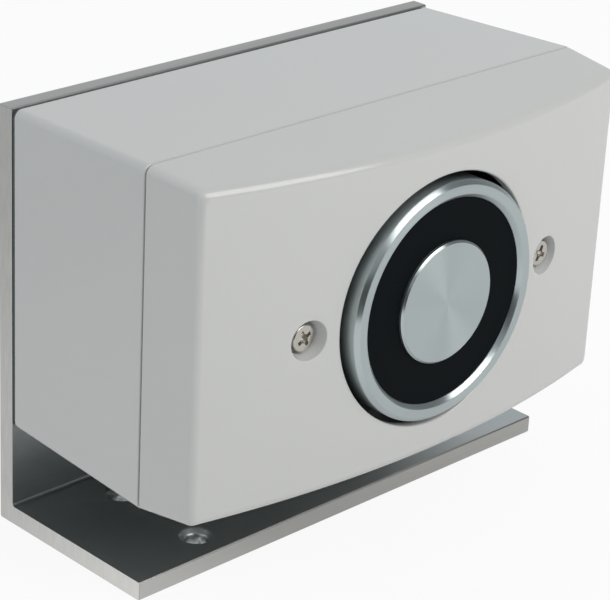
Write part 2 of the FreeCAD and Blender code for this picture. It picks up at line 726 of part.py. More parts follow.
def build_magnet():
    """Steel pot, turned core, coil on its bobbin and the resin that seals it."""
    pot = turn_profile("magnet_pot", [
        ("bolt_radius + fixing_hole_clearance", MAGNET_BACK),
        ("pot_radius - pole_chamfer", MAGNET_BACK),
        ("pot_radius", f"{MAGNET_BACK} + pole_chamfer"),
        ("pot_radius", f"{MAGNET_FACE} - pole_chamfer"),
        ("pot_radius - pole_chamfer", MAGNET_FACE),
        ("pot_bore_radius + pole_chamfer", MAGNET_FACE),
        ("pot_bore_radius", f"{MAGNET_FACE} - pole_chamfer"),
        ("pot_bore_radius", POT_FLOOR),
        ("bolt_radius + fixing_hole_clearance", POT_FLOOR),
    ])
    lead_holes = new_sketch(pot, "XY_Plane", POT_FLOOR)
    hole_radius = "lead_radius + lead_hole_clearance"
    for side in SIGNS:
        draw_circle(lead_holes, "lead_hole_x", f"{side} * lead_hole_spread", hole_radius)
    add_pocket(pot, lead_holes, "pot_floor")
    seat(pot)
    keep(pot)

    core = turn_profile("magnet_core", [
        ("bolt_radius + thread_clearance", POT_FLOOR),
        ("core_radius", POT_FLOOR),
        ("core_radius", f"{MAGNET_FACE} - pole_chamfer"),
        ("core_radius - pole_chamfer", MAGNET_FACE),
        ("0", MAGNET_FACE),
        ("0", f"{MAGNET_BACK} + bolt_reach + bolt_hole_spare"),
        ("bolt_radius + thread_clearance", f"{MAGNET_BACK} + bolt_reach + bolt_hole_spare"),
    ])
    seat(core)
    keep(core)

    bobbin_bore = "(core_radius + filling_clearance)"
    bobbin_rim = "(pot_bore_radius - filling_clearance)"
    tube = f"({bobbin_bore} + bobbin_wall)"
    bobbin = turn_profile("coil_bobbin", [
        (bobbin_bore, POT_FLOOR),
        (bobbin_rim, POT_FLOOR),
        (bobbin_rim, f"{POT_FLOOR} + bobbin_wall"),
        (tube, f"{POT_FLOOR} + bobbin_wall"),
        (tube, f"{POTTING_BACK} - bobbin_wall"),
        (bobbin_rim, f"{POTTING_BACK} - bobbin_wall"),
        (bobbin_rim, POTTING_BACK),
        (bobbin_bore, POTTING_BACK),
    ])
    seat(bobbin)
    keep(bobbin)

    winding_rim = f"{bobbin_rim} - winding_margin"
    winding = turn_profile("coil_winding", [
        (f"{tube} + filling_clearance", f"{POT_FLOOR} + bobbin_wall"),
        (winding_rim, f"{POT_FLOOR} + bobbin_wall"),
        (winding_rim, f"{POTTING_BACK} - bobbin_wall"),
        (f"{tube} + filling_clearance", f"{POTTING_BACK} - bobbin_wall"),
    ])
    seat(winding)
    keep(winding)

    potting = turn_profile("potting_ring", [
        (bobbin_bore, POTTING_BACK),
        (bobbin_rim, POTTING_BACK),
        (bobbin_rim, POTTING_FACE),
        (bobbin_bore, POTTING_FACE),
    ])
    seat(potting)
    keep(potting)


def build_carrier():
    """Steel plate on four bosses of the box; the magnet is bolted to its front."""
    body = new_body("carrier_plate")
    plate = new_sketch(body, "XY_Plane", CARRIER_BACK)
    draw_rectangle(plate, "carrier_width / 2", f"{CARRIER_SCREW_Y} + carrier_margin")
    draw_circle(plate, "0", "0", "bolt_radius + fixing_hole_clearance")
    for across, up in corner_places("carrier_screw_x", CARRIER_SCREW_Y):
        draw_circle(plate, across, up, "fixing_radius + fixing_hole_clearance")
    lead_hole_radius = "lead_radius + lead_hole_clearance"
    for side in SIGNS:
        draw_circle(plate, "lead_hole_x", f"{side} * lead_hole_spread", lead_hole_radius)
    add_pad(body, plate, "carrier_thickness")
    round_corners(body, "carrier_corner_radius")
    seat(body)
    keep(body)


def build_magnet_bolt():
    """Hexagon bolt and lock washer that hold pot and core on the carrier."""
    washer_back = f"({CARRIER_BACK} - lock_washer_thickness)"
    length = "lock_washer_thickness + carrier_thickness + bolt_reach"
    bolt = turn_profile("magnet_bolt", [
        ("0", "0"),
        ("bolt_radius", "0"),
        ("bolt_radius", length),
        ("0", length),
    ])
    head = new_sketch(bolt, "XY_Plane", "-bolt_head_height")
    corner = "bolt_head_flats / sqrt(3)"
    draw_outline(head, [
        (f"{math.cos(turn):.6f} * {corner}", f"{math.sin(turn):.6f} * {corner}")
        for turn in (math.radians(degrees) for degrees in range(30, 390, 60))
    ])
    add_pad(bolt, head, "bolt_head_height")
    seat(bolt, forward=washer_back)
    keep(bolt)
    washer = turn_profile("lock_washer", [
        ("bolt_radius + fixing_hole_clearance", "0"),
        ("lock_washer_radius", "0"),
        ("lock_washer_radius", "lock_washer_thickness"),
        ("bolt_radius + fixing_hole_clearance", "lock_washer_thickness"),
    ])
    seat(washer, forward=washer_back)
    keep(washer)


def build_fixing(label, shank, head, height, length):
    """Plain machine screw whose seat is at z = 0."""
    tip = f"-({length})"
    return turn_profile(label, [
        ("0", tip), (shank, tip), (shank, "0"), (head, "0"), (head, height), ("0", height)
    ])


def build_fixings():
    """Screws of the carrier, of the box and of the board, and the box's washers."""
    places = corner_places("carrier_screw_x", CARRIER_SCREW_Y)
    screws = []
    for number, (across, up) in enumerate(places, start=1):
        screw = build_fixing(
            f"carrier_screw_{number}", "fixing_radius", "fixing_head_radius", "fixing_head_height",
            "carrier_screw_length",
        )
        seat(screw, across, up, MAGNET_BACK)
        screws.append(screw)
    keep_group("carrier_screws", screws)

    screws = []
    washers = []
    for number, (across, up) in enumerate(corner_places(BOX_SCREW_X, BOX_SCREW_Y), start=1):
        screw = build_fixing(
            f"box_screw_{number}", "fixing_radius", "fixing_head_radius", "fixing_head_height",
            f"{BOX_FLOOR} + washer_thickness + box_screw_tip_depth",
        )
        seat(screw, across, up, f"{BOX_FLOOR} + washer_thickness")
        screws.append(screw)
        washer = turn_profile(f"box_washer_{number}", [
            ("fixing_radius + fixing_hole_clearance", "0"),
            ("washer_radius", "0"),
            ("washer_radius", "washer_thickness"),
            ("fixing_radius + fixing_hole_clearance", "washer_thickness"),
        ])
        seat(washer, across, up, BOX_FLOOR)
        washers.append(washer)
    keep_group("box_screws", screws)
    keep_group("box_washers", washers)

    screws = []
    for side, word in zip(SIGNS, ("low", "high")):
        screw = build_fixing(
            f"board_screw_{word}", "board_screw_radius", "board_screw_head_radius",
            "board_screw_head_height", "board_screw_length",
        )
        seat(screw, f"board_x + {side} * {STANDOFF_X}", f"board_y + {side} * {STANDOFF_Y}", BOARD_FACE)
        screws.append(screw)
    keep_group("board_screws", screws)


def build_grommet():
    """Rubber grommet in the box's back wall, clear of the hole in the plate."""
    bore = "cable_bore_radius"
    hub = "grommet_hub_radius"
    flange = "grommet_flange_radius"
    body = turn_profile("cable_grommet", [
        (bore, "gasket_thickness - grommet_flange_thickness"),
        (flange, "gasket_thickness - grommet_flange_thickness"),
        (flange, "gasket_thickness"),
        (hub, "gasket_thickness"),
        (hub, BOX_FLOOR),
        (flange, BOX_FLOOR),
        (flange, f"{BOX_FLOOR} + grommet_flange_thickness"),
        (bore, f"{BOX_FLOOR} + grommet_flange_thickness"),
    ])
    seat(body, up="cable_y")
    keep(body)


def build_board():
    """Circuit board on two standoffs, and the diode across the coil."""
    body = new_body("circuit_board")
    outline = new_sketch(body, "XY_Plane", BOARD_BACK)
    draw_rectangle(outline, "board_width / 2", "board_height / 2", "board_x", "board_y")
    for side in SIGNS:
        place = (f"board_x + {side} * {STANDOFF_X}", f"board_y + {side} * {STANDOFF_Y}")
        draw_circle(outline, *place, "board_screw_radius + fixing_hole_clearance")
    add_pad(body, outline, "board_thickness")
    seat(body)
    keep(body)

    diode = new_body("surge_diode")
    barrel = new_sketch(diode, "YZ_Plane", "diode_x")
    draw_circle(barrel, "diode_y", f"{BOARD_FACE} + diode_radius", "diode_radius")
    add_pad(diode, barrel, "diode_length", symmetric=True)
    wire = new_sketch(diode, "YZ_Plane", "diode_x")
    draw_circle(wire, "diode_y", f"{BOARD_FACE} + diode_radius", "diode_lead_radius")
    add_pad(diode, wire, "diode_span + 2 * diode_lead_radius", symmetric=True)
    legs = new_sketch(diode, "XY_Plane", BOARD_FACE)
    for side in SIGNS:
        draw_circle(legs, f"diode_x + {side} * diode_span / 2", "diode_y", "diode_lead_radius")
    add_pad(diode, legs, "diode_radius")
    seat(diode)
    keep(diode)


def terminal_places():
    """Where the poles of the terminal block are, across the board."""
    middle = (TERMINAL_POLES - 1) / 2
    return [f"(terminal_x + {pole - middle} * terminal_pitch)" for pole in range(TERMINAL_POLES)]


def build_terminals():
    """Terminal block with a clamp and a screw in each pole; wires enter from below."""
    front = "(terminal_y - terminal_depth / 2)"
    clamp_middle = f"({front} + clamp_setback + clamp_depth / 2)"
    body = new_body("terminal_block")
    block = new_sketch(body, "XY_Plane", BOARD_FACE)
    half_width = f"{TERMINAL_POLES} * terminal_pitch / 2 + terminal_end_wall"
    draw_rectangle(block, half_width, "terminal_depth / 2", "terminal_x", "terminal_y")
    add_pad(body, block, "terminal_height")
    cells = new_sketch(body, "XZ_Plane", f"-({front})")
    wells = new_sketch(body, "XY_Plane", f"{BOARD_FACE} + terminal_height")
    for pole in terminal_places():
        draw_rectangle(
            cells, "clamp_width / 2 + clamp_clearance", "clamp_height / 2 + clamp_clearance", pole,
            f"{CLAMP_BASE} + clamp_height / 2 + clamp_clearance",
        )
        draw_circle(wells, pole, clamp_middle, "terminal_screw_head_radius + clamp_clearance")
    add_pocket(body, cells, "clamp_setback + clamp_depth + clamp_clearance")
    add_pocket(body, wells, f"{BOARD_FACE} + terminal_height - {CLAMP_TOP}")
    seat(body)
    keep(body)

    clamps = []
    screws = []
    for number, pole in enumerate(terminal_places(), start=1):
        clamp = new_body(f"terminal_clamp_{number}")
        frame = new_sketch(clamp, "XZ_Plane", f"-({front} + clamp_setback)")
        middle = f"{CLAMP_BASE} + clamp_height / 2"
        half_width, half_height = "clamp_width / 2", "clamp_height / 2"
        draw_rectangle(frame, half_width, half_height, pole, middle)
        draw_rectangle(frame, f"{half_width} - clamp_wall", f"{half_height} - clamp_wall", pole, middle)
        pad = add_pad(clamp, frame, "clamp_depth")
        pad.Reversed = True
        tapping = new_sketch(clamp, "XY_Plane", CLAMP_TOP)
        draw_circle(tapping, pole, clamp_middle, "terminal_screw_radius + thread_clearance")
        doc.recompute()
        add_pocket(clamp, tapping, "2 * clamp_wall")
        seat(clamp)
        clamps.append(clamp)
        screw = build_fixing(
            f"terminal_screw_{number}", "terminal_screw_radius", "terminal_screw_head_radius",
            "terminal_screw_head_height", "clamp_height / 2",
        )
        seat(screw, pole, clamp_middle, f"{CLAMP_TOP}")
        screws.append(screw)
    keep_group("terminal_clamps", clamps)
    keep_group("terminal_screws", screws)


def rounded_path(points):
    """A wire of straight runs joined by tangent arcs as large as the runs allow."""
    edges = []
    start = points[0]
    for before, corner, after in zip(points, points[1:], points[2:]):
        back = before - corner
        onward = after - corner
        setback = 0.45 * min(back.Length, onward.Length)
        back.normalize()
        onward.normalize()
        entry = corner + back * setback
        leave = corner + onward * setback
        half = back.getAngle(onward) / 2
        inward = back + onward
        inward.normalize()
        middle = corner + inward * (setback / math.cos(half) - setback * math.tan(half))
        edges.append(Part.LineSegment(start, entry).toShape())
        edges.append(Part.Arc(entry, middle, leave).toShape())
        start = leave
    edges.append(Part.LineSegment(start, points[-1]).toShape())
    return Part.Wire(edges)


def build_leads():
    """The coil's two leads, from the pot's floor through the carrier to the board."""
    magnet_back = sheet.gasket_thickness + sheet.box_depth + sheet.seam_gap + sheet.cover_depth
    magnet_back += sheet.magnet_stand_out - sheet.magnet_height
    carrier_back = magnet_back - sheet.carrier_thickness
    board_face = sheet.gasket_thickness + sheet.box_wall + sheet.board_lift + sheet.board_thickness
    for side, label in zip(SIGNS, ("lead_negative", "lead_positive")):
        hole_y = side * sheet.lead_hole_spread
        pad_y = sheet.lead_pad_y + side * sheet.lead_pad_spread
        path = rounded_path([
            FreeCAD.Vector(sheet.lead_hole_x, hole_y, magnet_back + sheet.pot_floor),
            FreeCAD.Vector(sheet.lead_hole_x, hole_y, carrier_back - sheet.lead_turn_depth),
            FreeCAD.Vector(sheet.lead_pad_x, pad_y, board_face + sheet.lead_rise),
            FreeCAD.Vector(sheet.lead_pad_x, pad_y, board_face),
        ])
        profile = Part.Wire(Part.Circle(path.Vertexes[0].Point, ALONG_Z, sheet.lead_radius).toShape())
        lead = doc.addObject("Part::Feature", label)
        lead.Label = label
        lead.Shape = path.makePipeShell([profile], True, False)
        seat(lead)
        expected = math.pi * sheet.lead_radius**2 * path.Length
        if abs(lead.Shape.Volume / expected - 1) > 0.01:
            raise RuntimeError(f"{label} has the wrong volume")
        keep(lead)


build_bracket()
build_gasket()
build_box()
build_cover()
for cover_screw, cover_side in (("cover_screw_left", -1), ("cover_screw_right", 1)):
    build_cover_screw(cover_screw, cover_side)
build_inserts()
build_magnet()
build_carrier()
build_magnet_bolt()
build_fixings()
build_grommet()
build_board()
build_terminals()
build_leads()
doc.recompute()

for item in doc.Objects:
    if "Invalid" in item.State or "Error" in item.State:
        raise RuntimeError(f"{item.Name} failed: {item.State}")
os.makedirs("parts", exist_ok=True)
for piece in parts:
    if piece.Shape.isNull() or not piece.Shape.isValid():
        raise RuntimeError(f"{piece.Label} has no valid shape")
for piece in parts:
    piece.Shape.exportStep(os.path.join("parts", f"{piece.Label}.step"))
    print(piece.Label, len(piece.Shape.Solids), round(piece.Shape.Volume, 1))
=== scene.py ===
# %% [markdown]
# # A magnetic door holder, dressed for the camera
# The measured solids come from the frame and stay where they are. This lesson gives them
# finishes, and makes smooth surfaces for the pieces whose curves catch the light: the bowed
# cover, the turned magnet and the two cover screws.

# %% Load the frame
import json
import math

import bmesh
import bpy
import numpy as np
from mathutils import Matrix


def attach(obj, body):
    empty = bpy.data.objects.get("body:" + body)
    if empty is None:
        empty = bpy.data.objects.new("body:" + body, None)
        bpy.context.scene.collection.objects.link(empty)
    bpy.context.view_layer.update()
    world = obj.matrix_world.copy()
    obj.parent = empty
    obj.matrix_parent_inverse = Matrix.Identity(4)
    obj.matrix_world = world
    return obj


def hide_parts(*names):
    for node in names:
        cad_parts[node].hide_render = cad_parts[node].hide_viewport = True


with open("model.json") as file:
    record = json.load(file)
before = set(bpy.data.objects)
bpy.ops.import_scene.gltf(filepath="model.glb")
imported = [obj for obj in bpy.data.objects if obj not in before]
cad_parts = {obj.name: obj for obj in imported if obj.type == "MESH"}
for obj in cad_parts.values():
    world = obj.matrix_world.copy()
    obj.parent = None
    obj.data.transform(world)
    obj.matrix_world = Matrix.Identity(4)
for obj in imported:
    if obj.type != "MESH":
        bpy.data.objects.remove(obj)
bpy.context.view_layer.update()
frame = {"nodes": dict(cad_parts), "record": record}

scene = bpy.context.scene
scene.view_settings.view_transform = "Standard"

# %% [markdown]
# ## The housing frame
# The housing was designed about the magnet's axis. A point has a place across (to the right),
# a place up, and a place forward of the bracket's plate, all in millimetres. One function
# carries such points into the scene, which is in metres with the front towards -Y. Scene metres
# would do as well, but places about the axis are the sizes that a drawing of the holder gives.

# %% Housing frame
MM = 0.001
# The plate's front along Y, the axis above the floor, and the pole faces forward of the plate.
PLATE_FRONT, AXIS_HEIGHT, MAGNET_FACE = 24.0, 63.65, 71.85


def place(across, up, forward):
    """Scene points, as an array with x, y, z last, from housing places in millimetres."""
    across, up, forward = np.broadcast_arrays(across, up, forward)
    return np.stack([across, PLATE_FRONT - forward, AXIS_HEIGHT + up], axis=-1) * MM


print("magnet face at", place(0.0, 0.0, MAGNET_FACE))

# %% [markdown]
# ## Effects that several finishes share
# Three effects come back in many finishes. Moulded and cast pieces have a tone that drifts a
# little and a fine grain. Drawn or rolled metal has fine lines one way. Turned metal has rings
# round its axis. Each is a node group, so a finish only says how much of it there is. Pictures of
# real surfaces could do the same, but noise needs no file and stays sharp from nearby.

# %% Node helpers
def new_group(name, amounts):
    """An empty group: a place, a colour and amounts go in; colour, height and roughness come out."""
    group = bpy.data.node_groups.new(name, "ShaderNodeTree")
    sockets = group.interface
    sockets.new_socket("Vector", in_out="INPUT", socket_type="NodeSocketVector")
    sockets.new_socket("Colour", in_out="INPUT", socket_type="NodeSocketColor")
    for title, amount in amounts.items():
        socket = sockets.new_socket(title, in_out="INPUT", socket_type="NodeSocketFloat")
        socket.default_value = amount
    for title, kind in (("Colour", "Color"), ("Height", "Float"), ("Roughness", "Float")):
        sockets.new_socket(title, in_out="OUTPUT", socket_type=f"NodeSocket{kind}")
    return group, group.nodes.new("NodeGroupInput"), group.nodes.new("NodeGroupOutput")


def add_node(tree, kind, settings=None, **sockets):
    """A node with its settings, and its input sockets set or linked.

    In a socket's name _ stands for a space, and no_1 means the socket with that number.
    """
    node = tree.nodes.new(f"ShaderNode{kind}")
    for name, setting in (settings or {}).items():
        setattr(node, name, setting)
    for title, source in sockets.items():
        key = int(title[3:]) if title.startswith("no_") else title.replace("_", " ")
        if isinstance(source, bpy.types.NodeSocket):
            tree.links.new(source, node.inputs[key])
        else:
            node.inputs[key].default_value = source
    return node


def add_math(tree, operation, first, second=0.0):
    """The result of one sum on two values."""
    return add_node(tree, "Math", {"operation": operation}, no_0=first, no_1=second).outputs[0]


def add_noise(tree, vector, scale, detail):
    """The value of a soft noise, 0.5 on average."""
    return add_node(tree, "TexNoise", None, Vector=vector, Scale=scale, Detail=detail).outputs[0]


print("node helpers are ready")

# %% [markdown]
# The effects also share small steps: a noise that swings about nought, a place that is stretched,
# and the way in which a swing tints the colour and moves the roughness. Written once, they read
# the same in every effect.

# %% Swings and tints
def about_nought(tree, noise):
    """A noise moved down, so that it swings about nought."""
    return add_math(tree, "SUBTRACT", noise, 0.5)


def stretch(tree, vector, factors):
    """A place or colour with each of its three parts multiplied by a factor of its own."""
    return add_node(tree, "VectorMath", {"operation": "MULTIPLY"}, no_0=vector, no_1=factors).outputs[0]


def scale_by(tree, vector, factor):
    """A place or colour times one value."""
    return add_node(tree, "VectorMath", {"operation": "SCALE"}, no_0=vector, Scale=factor).outputs[0]


def put_out(group, given, result, swing, height, shine):
    """Hand on the colour tinted by a swing, the height, and the roughness with a swing of its own."""
    tinted = scale_by(group, given.outputs["Colour"], add_math(group, "ADD", swing, 1.0))
    roughness = add_math(group, "ADD", given.outputs["Roughness"], shine)
    for title, source in (("Colour", tinted), ("Height", height), ("Roughness", roughness)):
        group.links.new(source, result.inputs[title])


print("swings and tints are ready")

# %% [markdown]
# Moulded plastic is never quite even: its tone and gloss drift over centimetres, and the tool
# leaves a fine grain. Two noises of different size give that, a broad one for the drift and a
# fine one for the grain, which is also the height of the bump. One noise with much detail would
# look alike, but then drift and grain couldn't be set apart.

# %% Moulded grain
BROAD_SCALE, SPECK_SHARE = 38.0, 0.6


def make_grain_group():
    """Tone and gloss that drift over centimetres, and a fine grain as a height."""
    group, given, result = new_group(
        "moulded_grain", {"Drift": 0.05, "Grain Scale": 2500.0, "Roughness": 0.4, "Gloss Drift": 0.05}
    )
    spot, drift = given.outputs["Vector"], given.outputs["Drift"]
    broad = add_noise(group, spot, BROAD_SCALE, 3.0)
    grain = add_noise(group, spot, given.outputs["Grain Scale"], 2.0)
    swing = add_math(group, "MULTIPLY", about_nought(group, broad), drift)
    speck_drift = add_math(group, "MULTIPLY", drift, SPECK_SHARE)
    speck = add_math(group, "MULTIPLY", about_nought(group, grain), speck_drift)
    shine = add_math(group, "MULTIPLY", about_nought(group, broad), given.outputs["Gloss Drift"])
    put_out(group, given, result, add_math(group, "ADD", swing, speck), grain, shine)
    return group


GRAIN = make_grain_group()
print("effect", GRAIN.name)

# %% [markdown]
# A rolled or pressed bar keeps fine lines along its length. Noise that is stretched along X
# draws them, and a cloudy noise keeps them from looking ruled. A wave texture makes lines too,
# but at even distances.

# %% Drawn lines
LINE_STRETCH = (0.012, 1, 1)
CLOUD_SCALE, CLOUD_SHARE = 30.0, 0.5


def make_line_group():
    """Fine lines along X, as on drawn metal, as colour, height and roughness."""
    group, given, result = new_group("drawn_lines", {"Contrast": 0.1, "Fineness": 1400.0, "Roughness": 0.3})
    spot = given.outputs["Vector"]
    lines = add_noise(group, stretch(group, spot, LINE_STRETCH), given.outputs["Fineness"], 3.0)
    cloud = add_noise(group, spot, CLOUD_SCALE, 2.0)
    drift = add_math(group, "MULTIPLY", about_nought(group, cloud), CLOUD_SHARE)
    uneven = add_math(group, "ADD", about_nought(group, lines), drift)
    swing = add_math(group, "MULTIPLY", uneven, given.outputs["Contrast"])
    put_out(group, given, result, swing, lines, swing)
    return group


LINES = make_line_group()
print("effect", LINES.name)

# %% [markdown]
# A lathe leaves rings. The distance from the Y axis is all that matters there, so the noise is
# read along that distance alone, and every ring keeps its tone all the way round. A wave texture
# has rings as well, but even ones look printed.

# %% Turned rings
def make_ring_group():
    """Rings round the Y axis of the vector, as colour, height and roughness."""
    group, given, result = new_group("turned_rings", {"Contrast": 0.1, "Fineness": 2200.0, "Roughness": 0.25})
    flat = stretch(group, given.outputs["Vector"], (1, 0, 1))
    radius = add_node(group, "VectorMath", {"operation": "LENGTH"}, no_0=flat).outputs["Value"]
    along = add_node(group, "CombineXYZ", None, X=radius).outputs[0]
    rings = add_noise(group, along, given.outputs["Fineness"], 2.0)
    swing = add_math(group, "MULTIPLY", about_nought(group, rings), given.outputs["Contrast"])
    put_out(group, given, result, swing, rings, swing)
    return group


RINGS = make_ring_group()
print("effect", RINGS.name)

# %% [markdown]
# ## Finishes
# Each slot of the record gets one finish. The shader stays in the material, and numbers that
# are the same all over are set on its own sockets; only what varies comes through a group. The
# magnet's turned faces also spread reflections across their grooves, which the shader calls
# anisotropic. Materials could be wired one by one, but a builder keeps them alike.

# %% Finish builder
def make_finish(name, effect, values, bump, metallic=0.0, centre=(0, 0, 0), **constants):
    """A material: Object coordinates, one shared effect, a bump and the shader's own values."""
    material = bpy.data.materials.new(name)
    material.use_nodes = True
    tree = material.node_tree
    shader = tree.nodes["Principled BSDF"]
    spot = add_node(tree, "TexCoord").outputs["Object"]
    mapping = add_node(tree, "Mapping", {"vector_type": "TEXTURE"}, Vector=spot, Location=centre)
    shared = tree.nodes.new("ShaderNodeGroup")
    shared.node_tree = effect
    tree.links.new(mapping.outputs[0], shared.inputs["Vector"])
    for title, value in values.items():
        shared.inputs[title].default_value = value
    strength, distance = bump
    height = shared.outputs["Height"]
    relief = add_node(tree, "Bump", None, Height=height, Strength=strength, Distance=distance)
    tree.links.new(shared.outputs["Colour"], shader.inputs["Base Color"])
    tree.links.new(shared.outputs["Roughness"], shader.inputs["Roughness"])
    tree.links.new(relief.outputs[0], shader.inputs["Normal"])
    shader.inputs["Metallic"].default_value = metallic
    for title, value in constants.items():
        shader.inputs[title.replace("_", " ")].default_value = value
    if "Anisotropic" in constants:
        grooves = add_node(tree, "Tangent", {"direction_type": "RADIAL", "axis": "Y"})
        tree.links.new(grooves.outputs[0], shader.inputs["Tangent"])
    return material


def colour(red, green, blue):
    """A linear colour from the 0 to 255 values that a screen shows."""
    screen = np.array([red, green, blue]) / 255
    linear = np.where(screen <= 0.04045, screen / 12.92, ((screen + 0.055) / 1.055) ** 2.4)
    return (*linear.tolist(), 1.0)


print("a screen grey of 128 is", round(colour(128, 128, 128)[0], 3), "in linear light")

# %% [markdown]
# Three families cover every slot: moulded plastics, resins and rubbers, drawn metals, and turned
# metals with their rings about the magnet's axis. The housing is a smooth pale grey moulding, the
# bracket a satin aluminium angle, and the magnet plated steel. Each could be a node tree of its
# own, but in a table a finish is one line with its screen colour, its roughness and what sets it
# apart.

# %% Slot finishes
AXIS_CENTRE = (0, 0, AXIS_HEIGHT * MM)


def plastic(name, tint, roughness, drift=0.04, grain=2600.0, bump=(0.15, 0.0002), **constants):
    """A moulded plastic, resin or rubber."""
    values = {"Colour": tint, "Drift": drift, "Grain Scale": grain, "Roughness": roughness}
    return make_finish(name, GRAIN, values, bump, **constants)


def drawn_metal(name, tint, roughness, contrast=0.12, fineness=1400.0, bump=(0.1, 0.0002)):
    """A metal with fine lines along X."""
    values = {"Colour": tint, "Contrast": contrast, "Fineness": fineness, "Roughness": roughness}
    return make_finish(name, LINES, values, bump, metallic=1.0)


def turned_metal(name, tint, roughness, contrast=0.08, bump=(0.12, 0.0002), **constants):
    """A metal with rings round the magnet's axis."""
    values = {"Colour": tint, "Contrast": contrast, "Roughness": roughness}
    return make_finish(name, RINGS, values, bump, metallic=1.0, centre=AXIS_CENTRE, **constants)


FOAM = {"drift": 0.3, "grain": 1200.0, "bump": (0.6, 0.0004)}
SMOOTH = {"drift": 0.02, "grain": 1500.0, "bump": (0.06, 0.0002)}
GROOVED = {"Anisotropic": 0.88, "Anisotropic_Rotation": 0.25}
CAST = {"drift": 0.2, "grain": 900.0, "bump": (0.1, 0.0003), "Specular_IOR_Level": 0.05}
RECIPES = {
    "bracket_aluminium": (drawn_metal, (176, 181, 181), 0.34, {}),
    "gasket_foam": (plastic, (92, 96, 96), 0.85, FOAM),
    "housing_plastic": (plastic, (196, 197, 195), 0.14, SMOOTH),
    "plated_screw": (turned_metal, (190, 186, 179), 0.21, {}),
    "brass": (turned_metal, (212, 180, 108), 0.28, {}),
    "magnet_steel": (turned_metal, (180, 189, 190), 0.3, GROOVED),
    "potting_resin": (plastic, (9, 14, 17), 0.6, CAST),
    "bobbin_plastic": (plastic, (225, 222, 210), 0.5, {}),
    "copper_wire": (turned_metal, (206, 132, 92), 0.3, {"contrast": 0.4}),
    "zinc_steel": (drawn_metal, (190, 193, 190), 0.32, {}),
    "grommet_rubber": (plastic, (28, 28, 28), 0.7, {"drift": 0.25}),
    "board_laminate": (plastic, (38, 92, 56), 0.35, {"drift": 0.15}),
    "terminal_plastic": (plastic, (70, 130, 86), 0.45, {}),
    "diode_resin": (plastic, (26, 26, 27), 0.35, {"drift": 0.2}),
    "lead_red": (plastic, (172, 34, 28), 0.35, {"drift": 0.1}),
    "lead_black": (plastic, (24, 24, 25), 0.35, {"drift": 0.15}),
}
FINISHES = {
    slot: family(slot, colour(*tint), roughness, **extra)
    for slot, (family, tint, roughness, extra) in RECIPES.items()
}
print("finishes", len(FINISHES))

# %% [markdown]
# The angle was cut from a long bar. Its narrow edges look warmer than its broad faces, and the sawn
# ends carry fine saw marks. The ends also get a painted reflection of the bright floor that grows
# lighter towards the foot, and the plate's top gets a painted shade. A second material could be put
# on those faces, but the part has one slot there, so the shader finds them: an end faces along X,
# and the long edges lie furthest forward or up.

# %% Bare edges and painted light
END_FACING = 0.9
LEG_FRONT, PLATE_TOP = -0.0212, 0.1022
PAINTED_FLOOR_LIGHT_SPAN, PAINTED_FLOOR_LIGHT_GAIN = (-0.02, 0.035), (0.4, -0.02)
SAW_STRETCH, SAW_FINENESS, SAW_CONTRAST = (0, 1, 0.1), 1600.0, 0.3
PLAIN, WARM = (1.0, 1.0, 1.0), (1.07, 1.0, 0.97)
PAINTED_TOP_SHADE = 0.17


def bare_edges_and_painted_light(material):
    """Warm the narrow edges, give the ends saw marks and a painted floor reflection, and paint shade on the
    plate's top.
    """
    tree = material.node_tree
    base = tree.nodes["Principled BSDF"].inputs["Base Color"]
    coordinates = add_node(tree, "TexCoord")
    facing = add_node(tree, "SeparateXYZ", None, Vector=coordinates.outputs["Normal"])
    spot = add_node(tree, "SeparateXYZ", None, Vector=coordinates.outputs["Object"])
    end = add_math(tree, "GREATER_THAN", add_math(tree, "ABSOLUTE", facing.outputs["X"]), END_FACING)
    top = add_math(tree, "GREATER_THAN", spot.outputs["Z"], PLATE_TOP)
    long_edge = add_math(tree, "MAXIMUM", add_math(tree, "LESS_THAN", spot.outputs["Y"], LEG_FRONT), top)
    # Painted reflection of the bright floor: the ends grow lighter towards the foot.
    painted_floor_light = add_node(
        tree, "MapRange", None, Value=add_math(tree, "ADD", spot.outputs["Y"], spot.outputs["Z"]),
        From_Min=PAINTED_FLOOR_LIGHT_SPAN[0], From_Max=PAINTED_FLOOR_LIGHT_SPAN[1], To_Min=PAINTED_FLOOR_LIGHT_GAIN[0], To_Max=PAINTED_FLOOR_LIGHT_GAIN[1],
    )
    marks = add_noise(tree, stretch(tree, coordinates.outputs["Object"], SAW_STRETCH), SAW_FINENESS, 2.0)
    mark_tone = add_math(tree, "MULTIPLY", about_nought(tree, marks), SAW_CONTRAST)
    end_painted_light_and_marks = add_math(tree, "MULTIPLY", add_math(tree, "ADD", painted_floor_light.outputs[0], mark_tone), end)
    # Painted shade: the plate's top is darkened.
    painted_light_shade_and_marks = add_math(tree, "SUBTRACT", end_painted_light_and_marks, add_math(tree, "MULTIPLY", top, PAINTED_TOP_SHADE))
    tint = add_node(
        tree, "Mix", {"data_type": "VECTOR"}, Factor=add_math(tree, "MAXIMUM", end, long_edge),
        no_4=PLAIN, no_5=WARM,
    )
    tinted = stretch(tree, base.links[0].from_socket, tint.outputs[1])
    tree.links.new(scale_by(tree, tinted, add_math(tree, "ADD", painted_light_shade_and_marks, 1.0)), base)


bare_edges_and_painted_light(FINISHES["bracket_aluminium"])
slot_of = {part["node"]: part["material_slot"] for part in frame["record"]["subparts"]}
for node, slot in slot_of.items():
    frame["nodes"][node].data.materials.clear()
    frame["nodes"][node].data.materials.append(FINISHES[slot])
print("finishes on", len(slot_of), "nodes")

# %% [markdown]
# ## From grids to meshes
# Cover, magnet and screws are made from grids of points: rows along a profile, columns round it.
# Neighbouring points make four-sided faces. Several grids can share their border points, so the
# points are welded by rounding them to a tenth of a micrometre, and faces that lose a corner at a
# pole become triangles. Modelling tools could join such patches too, but arrays treat all points
# at once.

